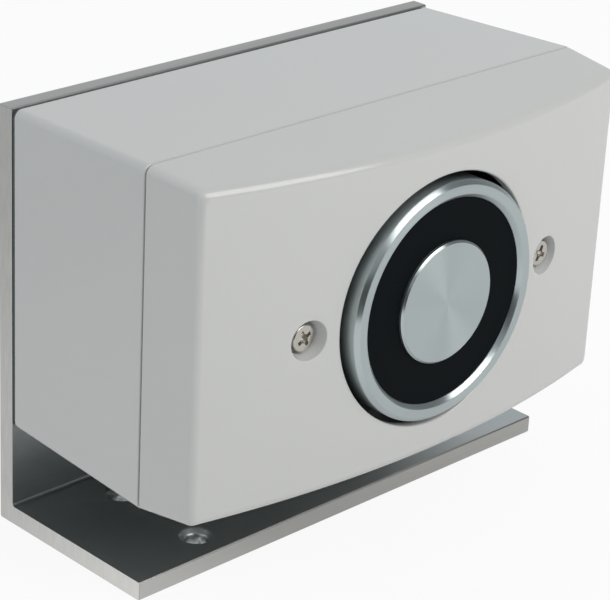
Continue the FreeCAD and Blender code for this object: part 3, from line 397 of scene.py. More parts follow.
# %% Grids and welding
WELD_DISTANCE = 1e-7


def grid_faces(rows, columns):
    """Corner numbers of the faces of a grid whose columns close into a ring."""
    number = np.arange(rows * columns).reshape(rows, columns)
    here, after = number[:-1], number[1:]
    beside, beside_after = np.roll(here, -1, axis=1), np.roll(after, -1, axis=1)
    return np.stack([here, beside, beside_after, after], axis=-1).reshape(-1, 4)


def weld(grids):
    """Points and faces of several ringed grids, with points that coincide made one."""
    points = np.concatenate([grid.reshape(-1, 3) for grid in grids])
    first = np.cumsum([0] + [grid.shape[0] * grid.shape[1] for grid in grids[:-1]])
    faces = np.concatenate([grid_faces(*grid.shape[:2]) + start for grid, start in zip(grids, first)])
    rounded = np.round(points / WELD_DISTANCE).astype(np.int64)
    _, kept, number = np.unique(rounded, axis=0, return_index=True, return_inverse=True)
    return points[kept], number.reshape(-1)[faces]


def split_faces(faces):
    """Loop corners and loop counts: whole quads first, then quads that lost one corner."""
    repeats = faces == np.roll(faces, -1, axis=1)
    quads = faces[~repeats.any(axis=1)]
    short = repeats.sum(axis=1) == 1
    triangles = faces[short][~repeats[short]].reshape(-1, 3)
    corners = np.concatenate([quads.reshape(-1), triangles.reshape(-1)])
    counts = np.concatenate([np.full(len(quads), 4), np.full(len(triangles), 3)])
    return corners, counts


print("a grid of 3 rows and 8 columns has", len(grid_faces(3, 8)), "faces")

# %% [markdown]
# A piece is a mesh filled from those arrays, which is quicker than adding faces one by one.
# Its faces are turned outwards, and it is shaded smooth apart from edges that bend more than a
# crease angle. It then gets the finish of its slot and the body that carries it, and the node of
# the frame that it stands for is hidden.

# %% Pieces
CREASE = 35.0


def shade_smooth(mesh, crease):
    """Shade all faces smooth, and keep edges that bend more than the crease angle sharp."""
    mesh.polygons.foreach_set("use_smooth", np.ones(len(mesh.polygons), dtype=bool))
    mesh.set_sharp_from_angle(angle=math.radians(crease))


def add_object(name, data):
    """A new object in the scene for a mesh, a lamp or a camera."""
    thing = bpy.data.objects.new(name, data)
    bpy.context.collection.objects.link(thing)
    return thing


def make_piece(name, grids, body, slot, replaced, crease=CREASE):
    """One object from ringed grids, with outward faces, riding on a body of the frame."""
    points, faces = weld(grids)
    corners, counts = split_faces(faces)
    mesh = bpy.data.meshes.new(name)
    mesh.vertices.add(len(points))
    mesh.vertices.foreach_set("co", points.reshape(-1))
    mesh.loops.add(len(corners))
    mesh.loops.foreach_set("vertex_index", corners)
    mesh.polygons.add(len(counts))
    mesh.polygons.foreach_set("loop_start", np.concatenate([[0], np.cumsum(counts)[:-1]]))
    mesh.update()
    mesh.validate()
    turned = bmesh.new()
    turned.from_mesh(mesh)
    bmesh.ops.recalc_face_normals(turned, faces=turned.faces)
    open_edges = sum(1 for edge in turned.edges if not edge.is_manifold)
    turned.to_mesh(mesh)
    turned.free()
    shade_smooth(mesh, crease)
    mesh.materials.append(FINISHES[slot])
    piece = add_object(name, mesh)
    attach(piece, body)
    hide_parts(replaced)
    print(name, "faces", len(mesh.polygons), "open edges", open_edges)


print("edges that bend more than", CREASE, "degrees stay sharp")

# %% [markdown]
# ## The front cover
# The cover is one moulding: sides with draft, a front that bows like a barrel, rounded edges, a
# round hole for the magnet and two dished wells. The front edge is rounder at the top and bottom
# than at the sides. A solid like that is easy to say as distances: how far a point is outside the
# side planes, the top and bottom planes and the front cylinder. Joining those distances with a
# round corner gives one smooth distance, and the skin is where it is nought. Rays from a frame
# inside the edge find that place, so the grid follows the form. Bevels on a block would need
# clean-up where they meet the bow. The inner skin is the same with the wall thickness added.

# %% Cover form
COVER_HALF_WIDTH, COVER_HALF_HEIGHT = 67.15, 40.0
SIDE_DRAFT, CAP_DRAFT = math.tan(math.radians(6.3)), math.tan(math.radians(5.2))
# Forward places of the cover's back edge and of the top of its bow.
SEAM, APEX = 46.6, 70.1
BOW_RADIUS, BLEND_REACH = 257.0, 6.0


def front_of(across, wall=0.0):
    """Forward place of the bowed front: a circle in plan with its centre on the axis."""
    return APEX - BOW_RADIUS + np.sqrt((BOW_RADIUS - wall) ** 2 - across**2)


def smooth_step(value):
    """0 below 0, 1 above 1, and an even S curve between."""
    value = np.clip(value, 0, 1)
    return value * value * (3 - 2 * value)


def join_round(first, second, radius):
    """Two distances joined by a round edge: a circle where both are near, else the larger one."""
    first, second = first + radius, second + radius
    beyond = np.hypot(np.maximum(first, 0), np.maximum(second, 0))
    return beyond + np.minimum(np.maximum(first, second), 0) - radius


def cover_distance(across, up, forward, wall, rounding):
    """Distance outside the cover's form: sides meet caps in a corner, and both meet the front.

    The three roundings are of the corner, the front edge at the sides and that edge at the caps.
    """
    side = np.abs(across) - COVER_HALF_WIDTH + SIDE_DRAFT * (forward - SEAM)
    cap = np.abs(up) - COVER_HALF_HEIGHT + CAP_DRAFT * (forward - SEAM)
    front = np.hypot(across, forward - APEX + BOW_RADIUS) - BOW_RADIUS
    around = join_round(side + wall, cap + wall, rounding[0])
    cap_share = smooth_step((cap - side) / BLEND_REACH + 0.5)
    edge = rounding[1] + (rounding[2] - rounding[1]) * cap_share
    return join_round(around, front + wall, edge)


print("the bow drops", round(float(APEX - front_of(COVER_HALF_WIDTH)), 2), "mm to the sides")

# %% [markdown]
# A ray starts inside the cover and ends far outside. Halving the stretch that holds the skin, over
# and over, closes in on it. A formula would be exact, but there is none for the blended edge.

# %% Rays to the skin
LONGEST_RAY, HALVINGS = 14.0, 48


def reach_skin(start, direction, wall, rounding):
    """Points on the skin: rays halve the step that still crosses it, all rays together."""
    near = np.zeros(start.shape[1:])
    far = np.full(start.shape[1:], LONGEST_RAY)
    for _ in range(HALVINGS):
        middle = (near + far) / 2
        outside = cover_distance(*(start + direction * middle), wall, rounding) > 0
        near, far = np.where(outside, near, middle), np.where(outside, middle, far)
    return place(*(start + direction * near))


print("rays end within", LONGEST_RAY / 2**HALVINGS, "mm of the skin")

# %% [markdown]
# The frame inside the edge is a rectangle. Its columns crowd at the corners, where the rounding
# is small and needs more of them; even columns would have to be many more. The same columns go on
# to the three patches of the front: one round the magnet's hole and one round each well.

# %% Cover frame
FRAME_ACROSS, FRAME_UP, FRAME_DEPTH = 59.5, 32.5, 6.5
PATCH_EDGE = 31.6
SIDE_STEPS, MIDDLE_STEPS, UP_STEPS = 22, 48, 48


def crowd_ends(steps):
    """Places from -1 to 1 that crowd at both ends: the sine of even angles."""
    return np.sin(np.linspace(-math.pi / 2, math.pi / 2, steps + 1))


def crowd_end(steps):
    """Places from 0 to 1 that crowd at 0: one less the cosine of even angles."""
    return 1 - np.cos(np.linspace(0, math.pi / 2, steps + 1))


def border(across, up):
    """A rectangle's border points, counter-clockwise from the lower left corner."""
    wide, high = len(across) - 1, len(up) - 1
    right, left = np.full(high, across[-1]), np.full(high, across[0])
    low, top = np.full(wide, up[0]), np.full(wide, up[-1])
    round_across = np.concatenate([across[:-1], right, across[:0:-1], left])
    round_up = np.concatenate([low, up[:-1], top, up[:0:-1]])
    return round_across, round_up


outer_run = -FRAME_ACROSS + (FRAME_ACROSS - PATCH_EDGE) * crowd_end(SIDE_STEPS)
middle_run = np.linspace(-PATCH_EDGE, PATCH_EDGE, MIDDLE_STEPS + 1)
up_run = FRAME_UP * crowd_ends(UP_STEPS)
rim_across, rim_up = border(np.concatenate([outer_run[:-1], middle_run, -outer_run[-2::-1]]), up_run)
outward = np.stack([
    rim_across * (COVER_HALF_WIDTH / FRAME_ACROSS - 1), rim_up * (COVER_HALF_HEIGHT / FRAME_UP - 1)
])
outward /= np.hypot(*outward)
print("columns round the cover", len(rim_across))

# %% [markdown]
# From the frame the rows turn outwards over the front edge, crowding where front and sides would
# meet in a sharp edge, and then go down the sides. Even turns would do as well, but most of them
# would lie on flat ground.

# %% Edge rows
EDGE_ROWS, EDGE_CROWDING, WALL_ROWS, SETTLING_ROUNDS = 25, 1.7, 7, 3
NEARLY_NOUGHT = 1e-12


def edge_turn(start):
    """Angle from straight ahead to the edge where the front would meet a side or a cap."""
    pace = np.maximum(np.abs(outward), NEARLY_NOUGHT)
    level = start[2] + FRAME_DEPTH
    for _ in range(SETTLING_ROUNDS):
        to_side = COVER_HALF_WIDTH - SIDE_DRAFT * (level - SEAM) - np.abs(start[0])
        to_cap = COVER_HALF_HEIGHT - CAP_DRAFT * (level - SEAM) - np.abs(start[1])
        distance = np.minimum(to_side / pace[0], to_cap / pace[1])
        level = front_of(start[0] + outward[0] * distance)
    return np.arctan2(distance, level - start[2])


def rim_rows(wall, rounding, lowest):
    """Rows of the skin from the front frame over the rounded edge and down to a level."""
    start = np.stack([rim_across, rim_up, front_of(rim_across) - FRAME_DEPTH])
    sharp = edge_turn(start)
    share = 1 - np.linspace(1, 0, EDGE_ROWS)[:, None] ** EDGE_CROWDING
    beyond = np.linspace(0, 1, EDGE_ROWS)[1:, None] ** EDGE_CROWDING
    steep = np.concatenate([sharp * share, sharp + (math.pi / 2 - sharp) * beyond])
    turning = np.stack([
        np.sin(steep) * outward[0], np.sin(steep) * outward[1], np.cos(steep) * np.ones_like(rim_up)
    ])
    edge = reach_skin(np.broadcast_to(start[:, None], turning.shape), turning, wall, rounding)
    drop = np.linspace(0, 1, WALL_ROWS)[1:, None]
    level = start[2] + (lowest - start[2]) * drop
    flat = np.stack(np.broadcast_arrays(outward[0], outward[1], np.zeros_like(level)))
    base = np.stack(np.broadcast_arrays(rim_across, rim_up, level))
    return np.concatenate([edge, reach_skin(base, flat, wall, rounding)])


print("rows over the edge", 2 * EDGE_ROWS - 1, "and down a side", WALL_ROWS - 1)

# %% [markdown]
# At the seam the real cover has a lip that enters the box. Rows along the lip lead on to the inner
# skin, so that the cover is one closed wall and looks right when it comes off. A Solidify modifier
# could add a wall, but not the lip.

# %% Cover rim
COVER_WALL = 2.3
OUTER_ROUNDING, INNER_ROUNDING = (2.0, 1.4, 2.4), (0.3, 0.3, 0.3)
LIP_OUT, LIP_IN = (64.44, 37.29), (62.84, 35.69)
LIP_END, LIP_ROOT = 43.05, 49.6


def frame_row(half_across, half_up, forward):
    """A rectangular row with the columns of the rim."""
    return place(rim_across * half_across / FRAME_ACROSS, rim_up * half_up / FRAME_UP, forward)[None]


rim_grid = np.concatenate([
    rim_rows(0.0, OUTER_ROUNDING, SEAM),
    frame_row(*LIP_OUT, SEAM),
    frame_row(*LIP_OUT, LIP_END),
    frame_row(*LIP_IN, LIP_END),
    frame_row(*LIP_IN, LIP_ROOT),
    rim_rows(COVER_WALL, INNER_ROUNDING, LIP_ROOT)[::-1],
])
print("cover rim grid", rim_grid.shape)

# %% [markdown]
# Round the hole and the wells, each patch runs from its rectangle to a circle, over the edge,
# down the wall and back out on the inner skin. The columns keep even angles on the circle, and
# the rows in between blend circle and rectangle. Cutting the holes with a boolean would leave
# long thin faces that spoil the shading of the bow.

# %% Patch rows
PATCH_ROWS, PATCH_CROWDING = 9, 0.7


def patch_rows(across, up, centre, radius, wall, start_turn):
    """Rows on the skin from a rectangle's border in to a circle: a straight blend in plan."""
    rectangle = np.stack(border(across, up))
    columns = rectangle.shape[1]
    turn = start_turn + np.arange(columns) * 2 * math.pi / columns
    circle = np.stack([centre + radius * np.cos(turn), radius * np.sin(turn)])
    blend = (np.linspace(0, 1, PATCH_ROWS) ** PATCH_CROWDING)[:, None]
    plan = rectangle[:, None] * (1 - blend) + circle[:, None] * blend
    return place(plan[0], plan[1], front_of(plan[0], wall)), turn


def bend_in(centre, mouth, rounding, turn, rows):
    """Rows over the rounded edge of an opening, from the skin in to its wall."""
    bend = np.linspace(0, math.pi / 2, rows)[1:, None]
    radius = mouth + rounding * (1 - np.sin(bend))
    across = centre + radius * np.cos(turn)
    return place(across, radius * np.sin(turn), front_of(across) - rounding * (1 - np.cos(bend)))


print("rows from rectangle to circle", PATCH_ROWS)

# %% [markdown]
# The magnet's hole has a rounded edge and a straight wall. A well is a cone with a floor, where the
# screw's head sits, and a passage through the boss behind it. Rim and patches share their border
# points, so welding makes them one cover.

# %% Hole and wells
HOLE_RADIUS, HOLE_EDGE, BEND_ROWS = 29.95, 0.5, 7
SCREW_ACROSS, SCREW_SEAT = 38.2, 63.845
WELL_MOUTH, WELL_FLOOR, WELL_EDGE, WELL_BEND_ROWS = 4.6, 3.5, 0.22, 5
# Steps out and forward that round off the corner between a well's cone and its floor.
WELL_FILLET = ((0.1, 0.3), (0.0, 0.1), (-0.12, 0.0))
PASSAGE_RADIUS, BOSS_RADIUS, BOSS_BACK = 1.8, 5.5, 46.05
LOWER_LEFT = -3 * math.pi / 4


def hole_patch():
    """The patch round the magnet's hole, with a rounded edge and a straight wall."""
    outer, turn = patch_rows(middle_run, up_run, 0.0, HOLE_RADIUS + HOLE_EDGE, 0.0, LOWER_LEFT)
    inner, _ = patch_rows(middle_run, up_run, 0.0, HOLE_RADIUS, COVER_WALL, LOWER_LEFT)
    edge = bend_in(0.0, HOLE_RADIUS, HOLE_EDGE, turn, BEND_ROWS)
    return np.concatenate([outer, edge, inner[::-1]])


def well_patch(side):
    """The patch round a well: cone, floor, screw passage and the boss behind it."""
    run = -outer_run[::-1] if side > 0 else outer_run
    centre = side * SCREW_ACROSS
    corner_turn = math.atan2(-FRAME_UP, run[0] - centre)
    outer, turn = patch_rows(run, up_run, centre, WELL_MOUTH + WELL_EDGE, 0.0, corner_turn)
    inner, _ = patch_rows(run, up_run, centre, BOSS_RADIUS, COVER_WALL, corner_turn)
    edge = bend_in(centre, WELL_MOUTH, WELL_EDGE, turn, WELL_BEND_ROWS)
    profile = np.array([
        *([WELL_FLOOR + out, SCREW_SEAT + forward] for out, forward in WELL_FILLET),
        [PASSAGE_RADIUS, SCREW_SEAT], [PASSAGE_RADIUS, BOSS_BACK], [BOSS_RADIUS, BOSS_BACK],
    ])[:, :, None]
    deep = place(centre + profile[:, 0] * np.cos(turn), profile[:, 0] * np.sin(turn), profile[:, 1])
    return np.concatenate([outer, edge, deep, inner[::-1]])


cover_grids = [rim_grid, hole_patch(), well_patch(-1), well_patch(1)]
make_piece("cover_shell", cover_grids, "cover", "housing_plastic", "front_cover")

# %% [markdown]
# ## The magnet
# Pot, core and the resin between them are turned on one axis, so each is a profile of radius and
# forward place carried round it. A Screw modifier could do that too, but a grid lets the face be
# finer than the rest. The pot's corners are eased by small arcs, and core and resin have small
# chamfers, because a perfectly sharp edge shows no light.

# %% Turned profiles
MOST_OF_SIDE = 0.45


def ease(profile, radius, steps=4):
    """A closed profile with each corner replaced by points on a smooth bend of a given size."""
    before, after = np.roll(profile, 1, axis=0), np.roll(profile, -1, axis=0)
    back, onward = before - profile, after - profile
    reach_back, reach_on = np.hypot(*back.T), np.hypot(*onward.T)
    cut = np.minimum(radius, MOST_OF_SIDE * np.minimum(reach_back, reach_on))[:, None]
    enter = (profile + back / reach_back[:, None] * cut)[:, None]
    leave = (profile + onward / reach_on[:, None] * cut)[:, None]
    share = np.linspace(0, 1, steps)[None, :, None]
    bend = (1 - share) ** 2 * enter + 2 * share * (1 - share) * profile[:, None] + share**2 * leave
    return bend.reshape(-1, 2)


def refine(profile, step):
    """The closed profile with points added, so that none are further apart than a step.

    The step is one length, or one for each side of the profile.
    """
    following = np.roll(profile, -1, axis=0)
    counts = np.maximum(1, np.ceil(np.hypot(*(following - profile).T) / step).astype(int))
    start = np.repeat(np.arange(len(profile)), counts)
    share = (np.arange(counts.sum()) - np.repeat(np.cumsum(counts) - counts, counts)) / counts[start]
    return profile[start] + (following - profile)[start] * share[:, None]


def turn_round(profile, columns=224):
    """A closed profile of radius and forward place carried round the magnet's axis."""
    closed = np.concatenate([profile, profile[:1]])
    turn = np.arange(columns) * 2 * math.pi / columns
    radius = closed[:, :1]
    return place(radius * np.cos(turn), radius * np.sin(turn), closed[:, 1:])


square = np.array([[0.0, 0.0], [1.0, 0.0], [1.0, 1.0], [0.0, 1.0]])
print("a square eased at its corners has", len(ease(square, 0.1)), "points")

# %% [markdown]
# The pot is a steel cup whose rim is the outer pole. Its rim has a chamfer inside and outside,
# and these two bevels make the bright lines round the ring. A cylinder with bevelled edges would
# show them too, but one profile has the cup's floor, bore and bolt hole as well.

# %% Magnet pot
MAGNET_BACK, POT_FLOOR = 41.85, 46.85
POT_RADIUS, POT_BORE, BOLT_HOLE = 28.4, 24.3, 4.25
POLE_CHAMFER, POT_EASING, COARSE_STEP = 1.0, 0.16, 2.0
pot_profile = np.array([
    [BOLT_HOLE, MAGNET_BACK], [POT_RADIUS - POLE_CHAMFER, MAGNET_BACK],
    [POT_RADIUS, MAGNET_BACK + POLE_CHAMFER], [POT_RADIUS, MAGNET_FACE - POLE_CHAMFER],
    [POT_RADIUS - POLE_CHAMFER, MAGNET_FACE], [POT_BORE + POLE_CHAMFER, MAGNET_FACE],
    [POT_BORE, MAGNET_FACE - POLE_CHAMFER], [POT_BORE, POT_FLOOR], [BOLT_HOLE, POT_FLOOR],
])
pot_grid = turn_round(refine(ease(pot_profile, POT_EASING), COARSE_STEP))
make_piece("magnet_pot_turned", [pot_grid], "base", "magnet_steel", "magnet_pot")

# %% [markdown]
# The core is the centre pole. Its face was cut with a fine feed, which leaves rings. A small
# ripple along the radius gives them to the geometry, and the finish adds finer ones. A bump alone
# could show them, but it weakens with distance. Only the face gets the points that this needs.

# %% Magnet core
CORE_RADIUS, CORE_BORE, CORE_CHAMFER, BOLT_HOLE_END = 14.45, 4.05, 0.45, 60.85
FEED_DEPTH, FEED_PITCH, FINE_STEP, CORE_COLUMNS = 0.0006, 0.36, 0.09, 160
SAME_LEVEL = 1e-6


def ripple(profile, level, depth, pitch):
    """Feed marks: points on the face at one level sink by a wave along the radius."""
    marked = profile.copy()
    on_face = np.abs(profile[:, 1] - level) < SAME_LEVEL
    marked[on_face, 1] -= depth * (0.5 - 0.5 * np.cos(2 * math.pi * profile[on_face, 0] / pitch))
    return marked


core_profile = np.array([
    [CORE_BORE, POT_FLOOR], [CORE_RADIUS, POT_FLOOR], [CORE_RADIUS, MAGNET_FACE - CORE_CHAMFER],
    [CORE_RADIUS - CORE_CHAMFER, MAGNET_FACE], [0.0, MAGNET_FACE], [0.0, BOLT_HOLE_END],
    [CORE_BORE, BOLT_HOLE_END],
])
at_face = core_profile[:, 1] == MAGNET_FACE
core_steps = np.where(at_face & np.roll(at_face, -1), FINE_STEP, COARSE_STEP)
core_marked = ripple(refine(core_profile, core_steps), MAGNET_FACE, FEED_DEPTH, FEED_PITCH)
core_grid = turn_round(core_marked, CORE_COLUMNS)
make_piece("magnet_core_turned", [core_grid], "base", "magnet_steel", "magnet_core")

# %% [markdown]
# Black resin seals the coil between the poles. It was poured, so its face is flat and a little
# below the pole faces, and it falls slightly where it meets the steel. A flat ring would do from
# afar, but the fall keeps its edge from looking cut.

# %% Resin
RESIN_BACK, RESIN_FACE, RESIN_STEP = 67.85, 70.85, 1.2
RESIN_GAP, RESIN_SLOPE, RESIN_FALL = 0.05, 0.8, 0.05
resin_profile = np.array([
    [CORE_RADIUS + RESIN_GAP, RESIN_BACK], [POT_BORE - RESIN_GAP, RESIN_BACK],
    [POT_BORE - RESIN_GAP, RESIN_FACE - RESIN_FALL], [POT_BORE - RESIN_SLOPE, RESIN_FACE],
    [CORE_RADIUS + RESIN_SLOPE, RESIN_FACE], [CORE_RADIUS + RESIN_GAP, RESIN_FACE - RESIN_FALL],
])
resin_grid = turn_round(refine(resin_profile, RESIN_STEP))
make_piece("potting_cast", [resin_grid], "base", "potting_resin", "potting_ring")

# %% [markdown]
# ## The cover screws
# A pan head with a cross recess is a height over a disc: a low dome whose rim rolls over, less a
# cross whose arms get shallower outwards. A boolean cut would do for a drawing, but a height
# gives the soft edges of a pressed recess. The disc's grid is finer where the arms are.

# %% Cross recess
ARM_HALF_WIDTH, ARM_REACH, RECESS_DEPTH = 0.5, 2.0, 1.5
ARM_FLANK, ARM_END, ARM_RISE = 0.16, 0.25, 0.45
CENTRE_REACH, CENTRE_FLANK, CENTRE_SHARE = 1.05, 0.3, 0.9


def recess(across, up):
    """Depth of the cross: two arms that get shallower outwards, and a deeper round centre."""
    radius = np.hypot(across, up)
    thin = np.minimum(np.abs(across), np.abs(up))
    long = np.maximum(np.abs(across), np.abs(up))
    arm = smooth_step((ARM_HALF_WIDTH - thin) / ARM_FLANK) * smooth_step((ARM_REACH - long) / ARM_END)
    shallow = 1 - ARM_RISE * long / ARM_REACH
    centre = smooth_step((CENTRE_REACH - radius) / CENTRE_FLANK)
    return RECESS_DEPTH * np.maximum(arm * shallow, CENTRE_SHARE * centre)


print("recess depth in the centre", round(float(recess(0.0, 0.0)), 2), "mm")

# %% [markdown]
# Rim, underside and shank follow as more rows of the same grid, down to a flat end with a small
# chamfer. A spiral thread is left out, because the shank is hidden while the cover is on. The
# screws were tightened by hand, so their crosses stand at different angles.

# %% Cover screws
HEAD_RADIUS, HEAD_HEIGHT, HEAD_ROLL = 3.2, 1.9, 0.4
DOME_LIFT, DOME_FALL, ROLL_SHARE, UNDER_CHAMFER = 0.02, 0.12, 0.9, 0.06
SHANK_RADIUS, SHANK_LENGTH, TIP_CHAMFER = 1.5, 25.0, 0.3
FINE_REACH, FINE_ROWS, COARSE_ROWS, ROLL_ROWS = 2.2, 64, 5, 9
SCREW_COLUMNS, SCREW_CREASE = 240, 50.0
CROSS_ANGLES = (("left", -1, 29.0), ("right", 1, 64.0))


def screw_grid(side, turn_angle):
    """A screw as one ringed grid: recess and dome, rolled rim, underside, shank and end."""
    fine = np.linspace(0, FINE_REACH, FINE_ROWS)
    coarse = np.linspace(FINE_REACH, HEAD_RADIUS - HEAD_ROLL, COARSE_ROWS)[1:]
    radius = np.concatenate([fine, coarse])[:, None]
    turn = np.arange(SCREW_COLUMNS) * 2 * math.pi / SCREW_COLUMNS
    dome = HEAD_HEIGHT + DOME_LIFT - DOME_FALL * (radius / HEAD_RADIUS) ** 2
    top_x, top_y = radius * np.cos(turn), radius * np.sin(turn)
    spin = math.radians(turn_angle)
    arm_x = top_x * math.cos(spin) + top_y * math.sin(spin)
    arm_y = top_y * math.cos(spin) - top_x * math.sin(spin)
    top_z = dome - recess(arm_x, arm_y)
    bend = np.linspace(0, math.pi / 2, ROLL_ROWS)[1:, None]
    edge_level = dome[-1] - HEAD_ROLL * ROLL_SHARE * (1 - np.cos(bend))
    edge_radius = HEAD_RADIUS - HEAD_ROLL + HEAD_ROLL * np.sin(bend)
    profile = np.array([
        [HEAD_RADIUS, UNDER_CHAMFER], [HEAD_RADIUS - UNDER_CHAMFER, 0.0], [SHANK_RADIUS, 0.0],
        [SHANK_RADIUS, TIP_CHAMFER - SHANK_LENGTH], [SHANK_RADIUS - TIP_CHAMFER, -SHANK_LENGTH],
        [0.0, -SHANK_LENGTH],
    ])
    below_radius = np.concatenate([edge_radius, profile[:, :1]])
    below_level = np.concatenate([edge_level, profile[:, 1:]])
    across = np.concatenate([top_x, below_radius * np.cos(turn)])
    up = np.concatenate([top_y, below_radius * np.sin(turn)])
    below_z = np.broadcast_to(below_level, (len(below_level), SCREW_COLUMNS))
    forward = np.concatenate([top_z, below_z])
    return place(side * SCREW_ACROSS + across, up, SCREW_SEAT + forward)


for name, side, turn_angle in CROSS_ANGLES:
    grid = screw_grid(side, turn_angle)
    make_piece(
        f"pan_screw_{name}", [grid], f"screw_{name}", "plated_screw", f"cover_screw_{name}", SCREW_CREASE
    )

# %% [markdown]
# ## Box, bracket and grommet
# These come from the frame as loose triangles. A welded copy can be shaded smooth: flat walls
# keep their own direction, because a weighted normal favours large faces, and the small facets of
# the rounded edges blend into them. New grids aren't needed, since the roundings are small.

# %% Smooth copies
COPY_CREASE, COPY_WELD = 32.0, 2e-6


def smooth_copy(node, body):
    """A welded copy of a node, shaded smooth below a crease angle."""
    welded = bmesh.new()
    welded.from_mesh(frame["nodes"][node].data)
    bmesh.ops.remove_doubles(welded, verts=welded.verts, dist=COPY_WELD)
    mesh = bpy.data.meshes.new(f"{node}_smooth")
    welded.to_mesh(mesh)
    welded.free()
    shade_smooth(mesh, COPY_CREASE)
    mesh.materials.append(FINISHES[slot_of[node]])
    piece = add_object(f"{node}_smooth", mesh)
    piece.modifiers.new("weighted", "WEIGHTED_NORMAL").keep_sharp = True
    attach(piece, body)
    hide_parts(node)
    print(piece.name, "faces", len(mesh.polygons))


for node in ("back_box", "mounting_bracket", "cable_grommet"):
    smooth_copy(node, "base")

# %% [markdown]
# ## Studio
# A white floor carries the shadow. To the camera it is nearly white by itself, so no extra light
# is needed for a pale background. Metal sees that white too, most of all on the left, as if a
# sheet of paper lay there, because the bracket's end and the magnet's bevels are bright on that
# side. A lamp could whiten the floor instead, but it would also bleach the housing.

# %% Floor
SEEN_GLOW, MIRRORED_LEFT, MIRRORED_REST = 0.9, 0.88, 0.3
PAPER_RIGHT, PAPER_BACK = (-0.07, -0.01), (0.07, 0.19)
FLOOR_REACH, FLOOR_GREY, FLOOR_ROUGHNESS = 4.0, 0.86, 0.9


def slope(tree, value, span, ends):
    """A value that goes from one end to the other over a span, in an even S curve."""
    ramp = add_node(
        tree, "MapRange", {"interpolation_type": "SMOOTHSTEP"}, Value=value,
        From_Min=span[0], From_Max=span[1], To_Min=ends[0], To_Max=ends[1],
    )
    return ramp.outputs[0]


def glow_share(tree):
    """How much of the floor is plain white: most for the camera, and in mirrors most on the left."""
    path = add_node(tree, "LightPath")
    spot = add_node(tree, "SeparateXYZ", None, Vector=add_node(tree, "TexCoord").outputs["Object"])
    on_left = slope(tree, spot.outputs["X"], PAPER_RIGHT, (1.0, 0.0))
    in_front = slope(tree, spot.outputs["Y"], PAPER_BACK, (1.0, 0.0))
    paper = add_math(tree, "MULTIPLY", on_left, in_front)
    gain = add_math(tree, "MULTIPLY", paper, MIRRORED_LEFT - MIRRORED_REST)
    mirrored = add_math(tree, "MAXIMUM", path.outputs["Is Glossy Ray"], path.outputs["Is Transmission Ray"])
    in_mirror = add_math(tree, "MULTIPLY", mirrored, add_math(tree, "ADD", gain, MIRRORED_REST))
    seen = add_math(tree, "MULTIPLY", path.outputs["Is Camera Ray"], SEEN_GLOW)
    return add_math(tree, "ADD", seen, in_mirror)


floor_finish = bpy.data.materials.new("pale_floor")
floor_finish.use_nodes = True
tree = floor_finish.node_tree
shader = tree.nodes["Principled BSDF"]
shader.inputs["Base Color"].default_value = (FLOOR_GREY, FLOOR_GREY, FLOOR_GREY, 1)
shader.inputs["Roughness"].default_value = FLOOR_ROUGHNESS
glow = add_node(tree, "Emission", None, Color=(1, 1, 1, 1), Strength=1.0)
blend = add_node(
    tree, "MixShader", None, no_0=glow_share(tree), no_1=shader.outputs[0], no_2=glow.outputs[0]
)
tree.links.new(blend.outputs[0], tree.nodes["Material Output"].inputs["Surface"])
floor_mesh = bpy.data.meshes.new("floor")
floor_corners = [(FLOOR_REACH * x, FLOOR_REACH * y, 0) for x, y in ((-1, -1), (1, -1), (1, 1), (-1, 1))]
floor_mesh.from_pydata(floor_corners, [], [(0, 1, 2, 3)])
floor_mesh.materials.append(floor_finish)
floor = add_object("floor", floor_mesh)
print("floor reaches", FLOOR_REACH, "m each way")

# %% [markdown]
# The room is the world round the scene: dim in front, brighter behind and to the left, and a
# little cool. It fills the shaded side and gives plastic and metal something to mirror.
# More lamps could do that, but each would add a highlight of its own.

# %% Room
ROOM_EVEN, ROOM_BACK, ROOM_LEFT = 0.24, 0.54, 0.29
ROOM_COLOUR = (0.965, 1.0, 1.025, 1)
BACK_SPAN, LEFT_SPAN = (-0.3, 0.6), (0.2, -0.9)
world = bpy.data.worlds.new("studio")
world.use_nodes = True
scene.world = world
tree = world.node_tree
heading = add_node(tree, "SeparateXYZ", None, Vector=add_node(tree, "TexCoord").outputs["Generated"])
back = slope(tree, heading.outputs["Y"], BACK_SPAN, (0.0, ROOM_BACK))
left = slope(tree, heading.outputs["X"], LEFT_SPAN, (0.0, ROOM_LEFT))
strength = add_math(tree, "ADD", add_math(tree, "ADD", back, left), ROOM_EVEN)
tree.nodes["Background"].inputs["Color"].default_value = ROOM_COLOUR
tree.links.new(strength, tree.nodes["Background"].inputs["Strength"])
print("room strength from", ROOM_EVEN, "to", ROOM_EVEN + ROOM_BACK + ROOM_LEFT)

# %% [markdown]
# One large soft box stands in front, above and to the right. Its height decides how thick the
# light line on the cover's upper edge is, and its warmth balances the cool room, so that the front
# stays a neutral grey while the shaded side turns bluish. A sun lamp would give hard edges.

# %% Lamp
KEY_PLACE, KEY_TARGET, KEY_SIZE = (0.2, -0.9, 0.76), (0, -0.02, 0.06), (0.9, 0.7)
KEY_POWER, KEY_COLOUR = 8.15, (1.02, 1.0, 0.985)


def stand(thing, right, up, forward, position):
    """Put a lamp or camera at a position, with its right, up and forward directions."""
    columns = np.stack([right, up, -forward, position], axis=1)
    thing.matrix_world = Matrix([*columns.tolist(), [0, 0, 0, 1]])


key_data = bpy.data.lights.new("key_soft_box", "AREA")
key_data.shape = "RECTANGLE"
key_data.size, key_data.size_y = KEY_SIZE
key_data.energy = KEY_POWER
key_data.color = KEY_COLOUR
forward = np.array(KEY_TARGET) - np.array(KEY_PLACE)
forward /= np.linalg.norm(forward)
right = np.cross(forward, (0, 0, 1))
right /= np.linalg.norm(right)
stand(add_object("key_soft_box", key_data), right, np.cross(right, forward), forward, KEY_PLACE)
print("lamp", key_data.name)

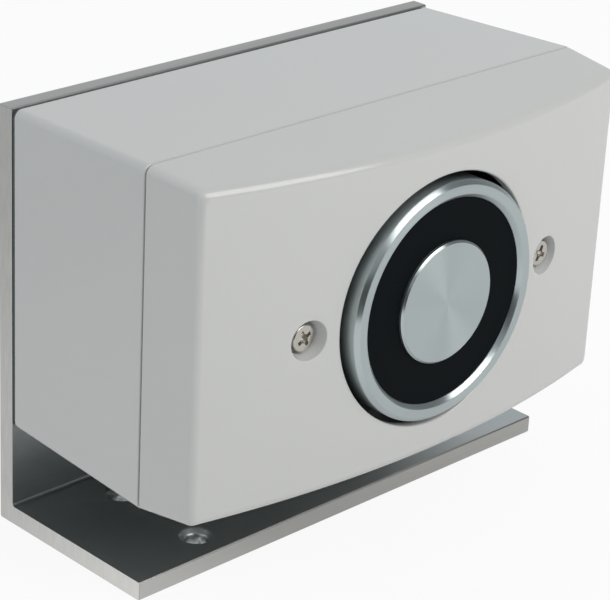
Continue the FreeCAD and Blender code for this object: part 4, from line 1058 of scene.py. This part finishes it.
# %% [markdown]
# Polished edges look bright only beside something dark. A photographer holds a dark card low
# between lens and metal for that. Here the card is seen by reflections alone, so it can stand
# close without showing in the picture or casting a shadow. A darker room would dim the housing.

# %% Dark card
CARD_PLACE = np.array([-0.14, -0.19])
CARD_ALONG = np.array([0.7, -0.7])
CARD_HALF_WIDTH, CARD_LOW, CARD_TOP = 0.12, 0.024, 0.128
ends = [CARD_PLACE - CARD_ALONG * CARD_HALF_WIDTH, CARD_PLACE + CARD_ALONG * CARD_HALF_WIDTH]
corners = [(*ends[0], CARD_LOW), (*ends[1], CARD_LOW), (*ends[1], CARD_TOP), (*ends[0], CARD_TOP)]
card_mesh = bpy.data.meshes.new("dark_card")
card_mesh.from_pydata(corners, [], [(0, 1, 2, 3)])
card_mesh.materials.append(plastic("card_black", colour(30, 32, 33), 0.8))
card = add_object("dark_card", card_mesh)
card.visible_camera = card.visible_diffuse = card.visible_shadow = card.visible_transmission = False
print("card from", CARD_LOW, "to", CARD_TOP, "m above the floor")

# %% [markdown]
# ## Camera
# The photograph's lens and place were worked out from the straight edges of box and bracket: a
# long lens, about 45 degrees round to the left and 24 degrees up, held with a slight roll. The
# three directions of the camera are built from those angles. A constraint could aim it, but not
# roll it.

# %% Camera
HEADING, TILT, ROLL = (math.radians(angle) for angle in (45.2887, 23.8712, 2.9565))
CAMERA_PLACE = (-0.37035, -0.37006, 0.27935)
FOCAL_PIXELS, PICTURE_WIDTH, SENSOR_WIDTH = 2415.85, 610, 36.0
camera_data = bpy.data.cameras.new("camera")
camera_data.sensor_fit = "HORIZONTAL"
camera_data.sensor_width = SENSOR_WIDTH
camera_data.lens = SENSOR_WIDTH * FOCAL_PIXELS / PICTURE_WIDTH
camera = add_object("camera", camera_data)
level = np.array([math.cos(HEADING), -math.sin(HEADING), 0.0])
ahead = np.array([math.sin(HEADING), math.cos(HEADING), 0.0])
forward = math.cos(TILT) * ahead - math.sin(TILT) * np.array([0.0, 0.0, 1.0])
upright = np.cross(level, forward)
right = math.cos(ROLL) * level + math.sin(ROLL) * upright
above = math.cos(ROLL) * upright - math.sin(ROLL) * level
stand(camera, right, above, forward, CAMERA_PLACE)
scene.camera = camera
print("lens", round(camera_data.lens, 2), "mm")
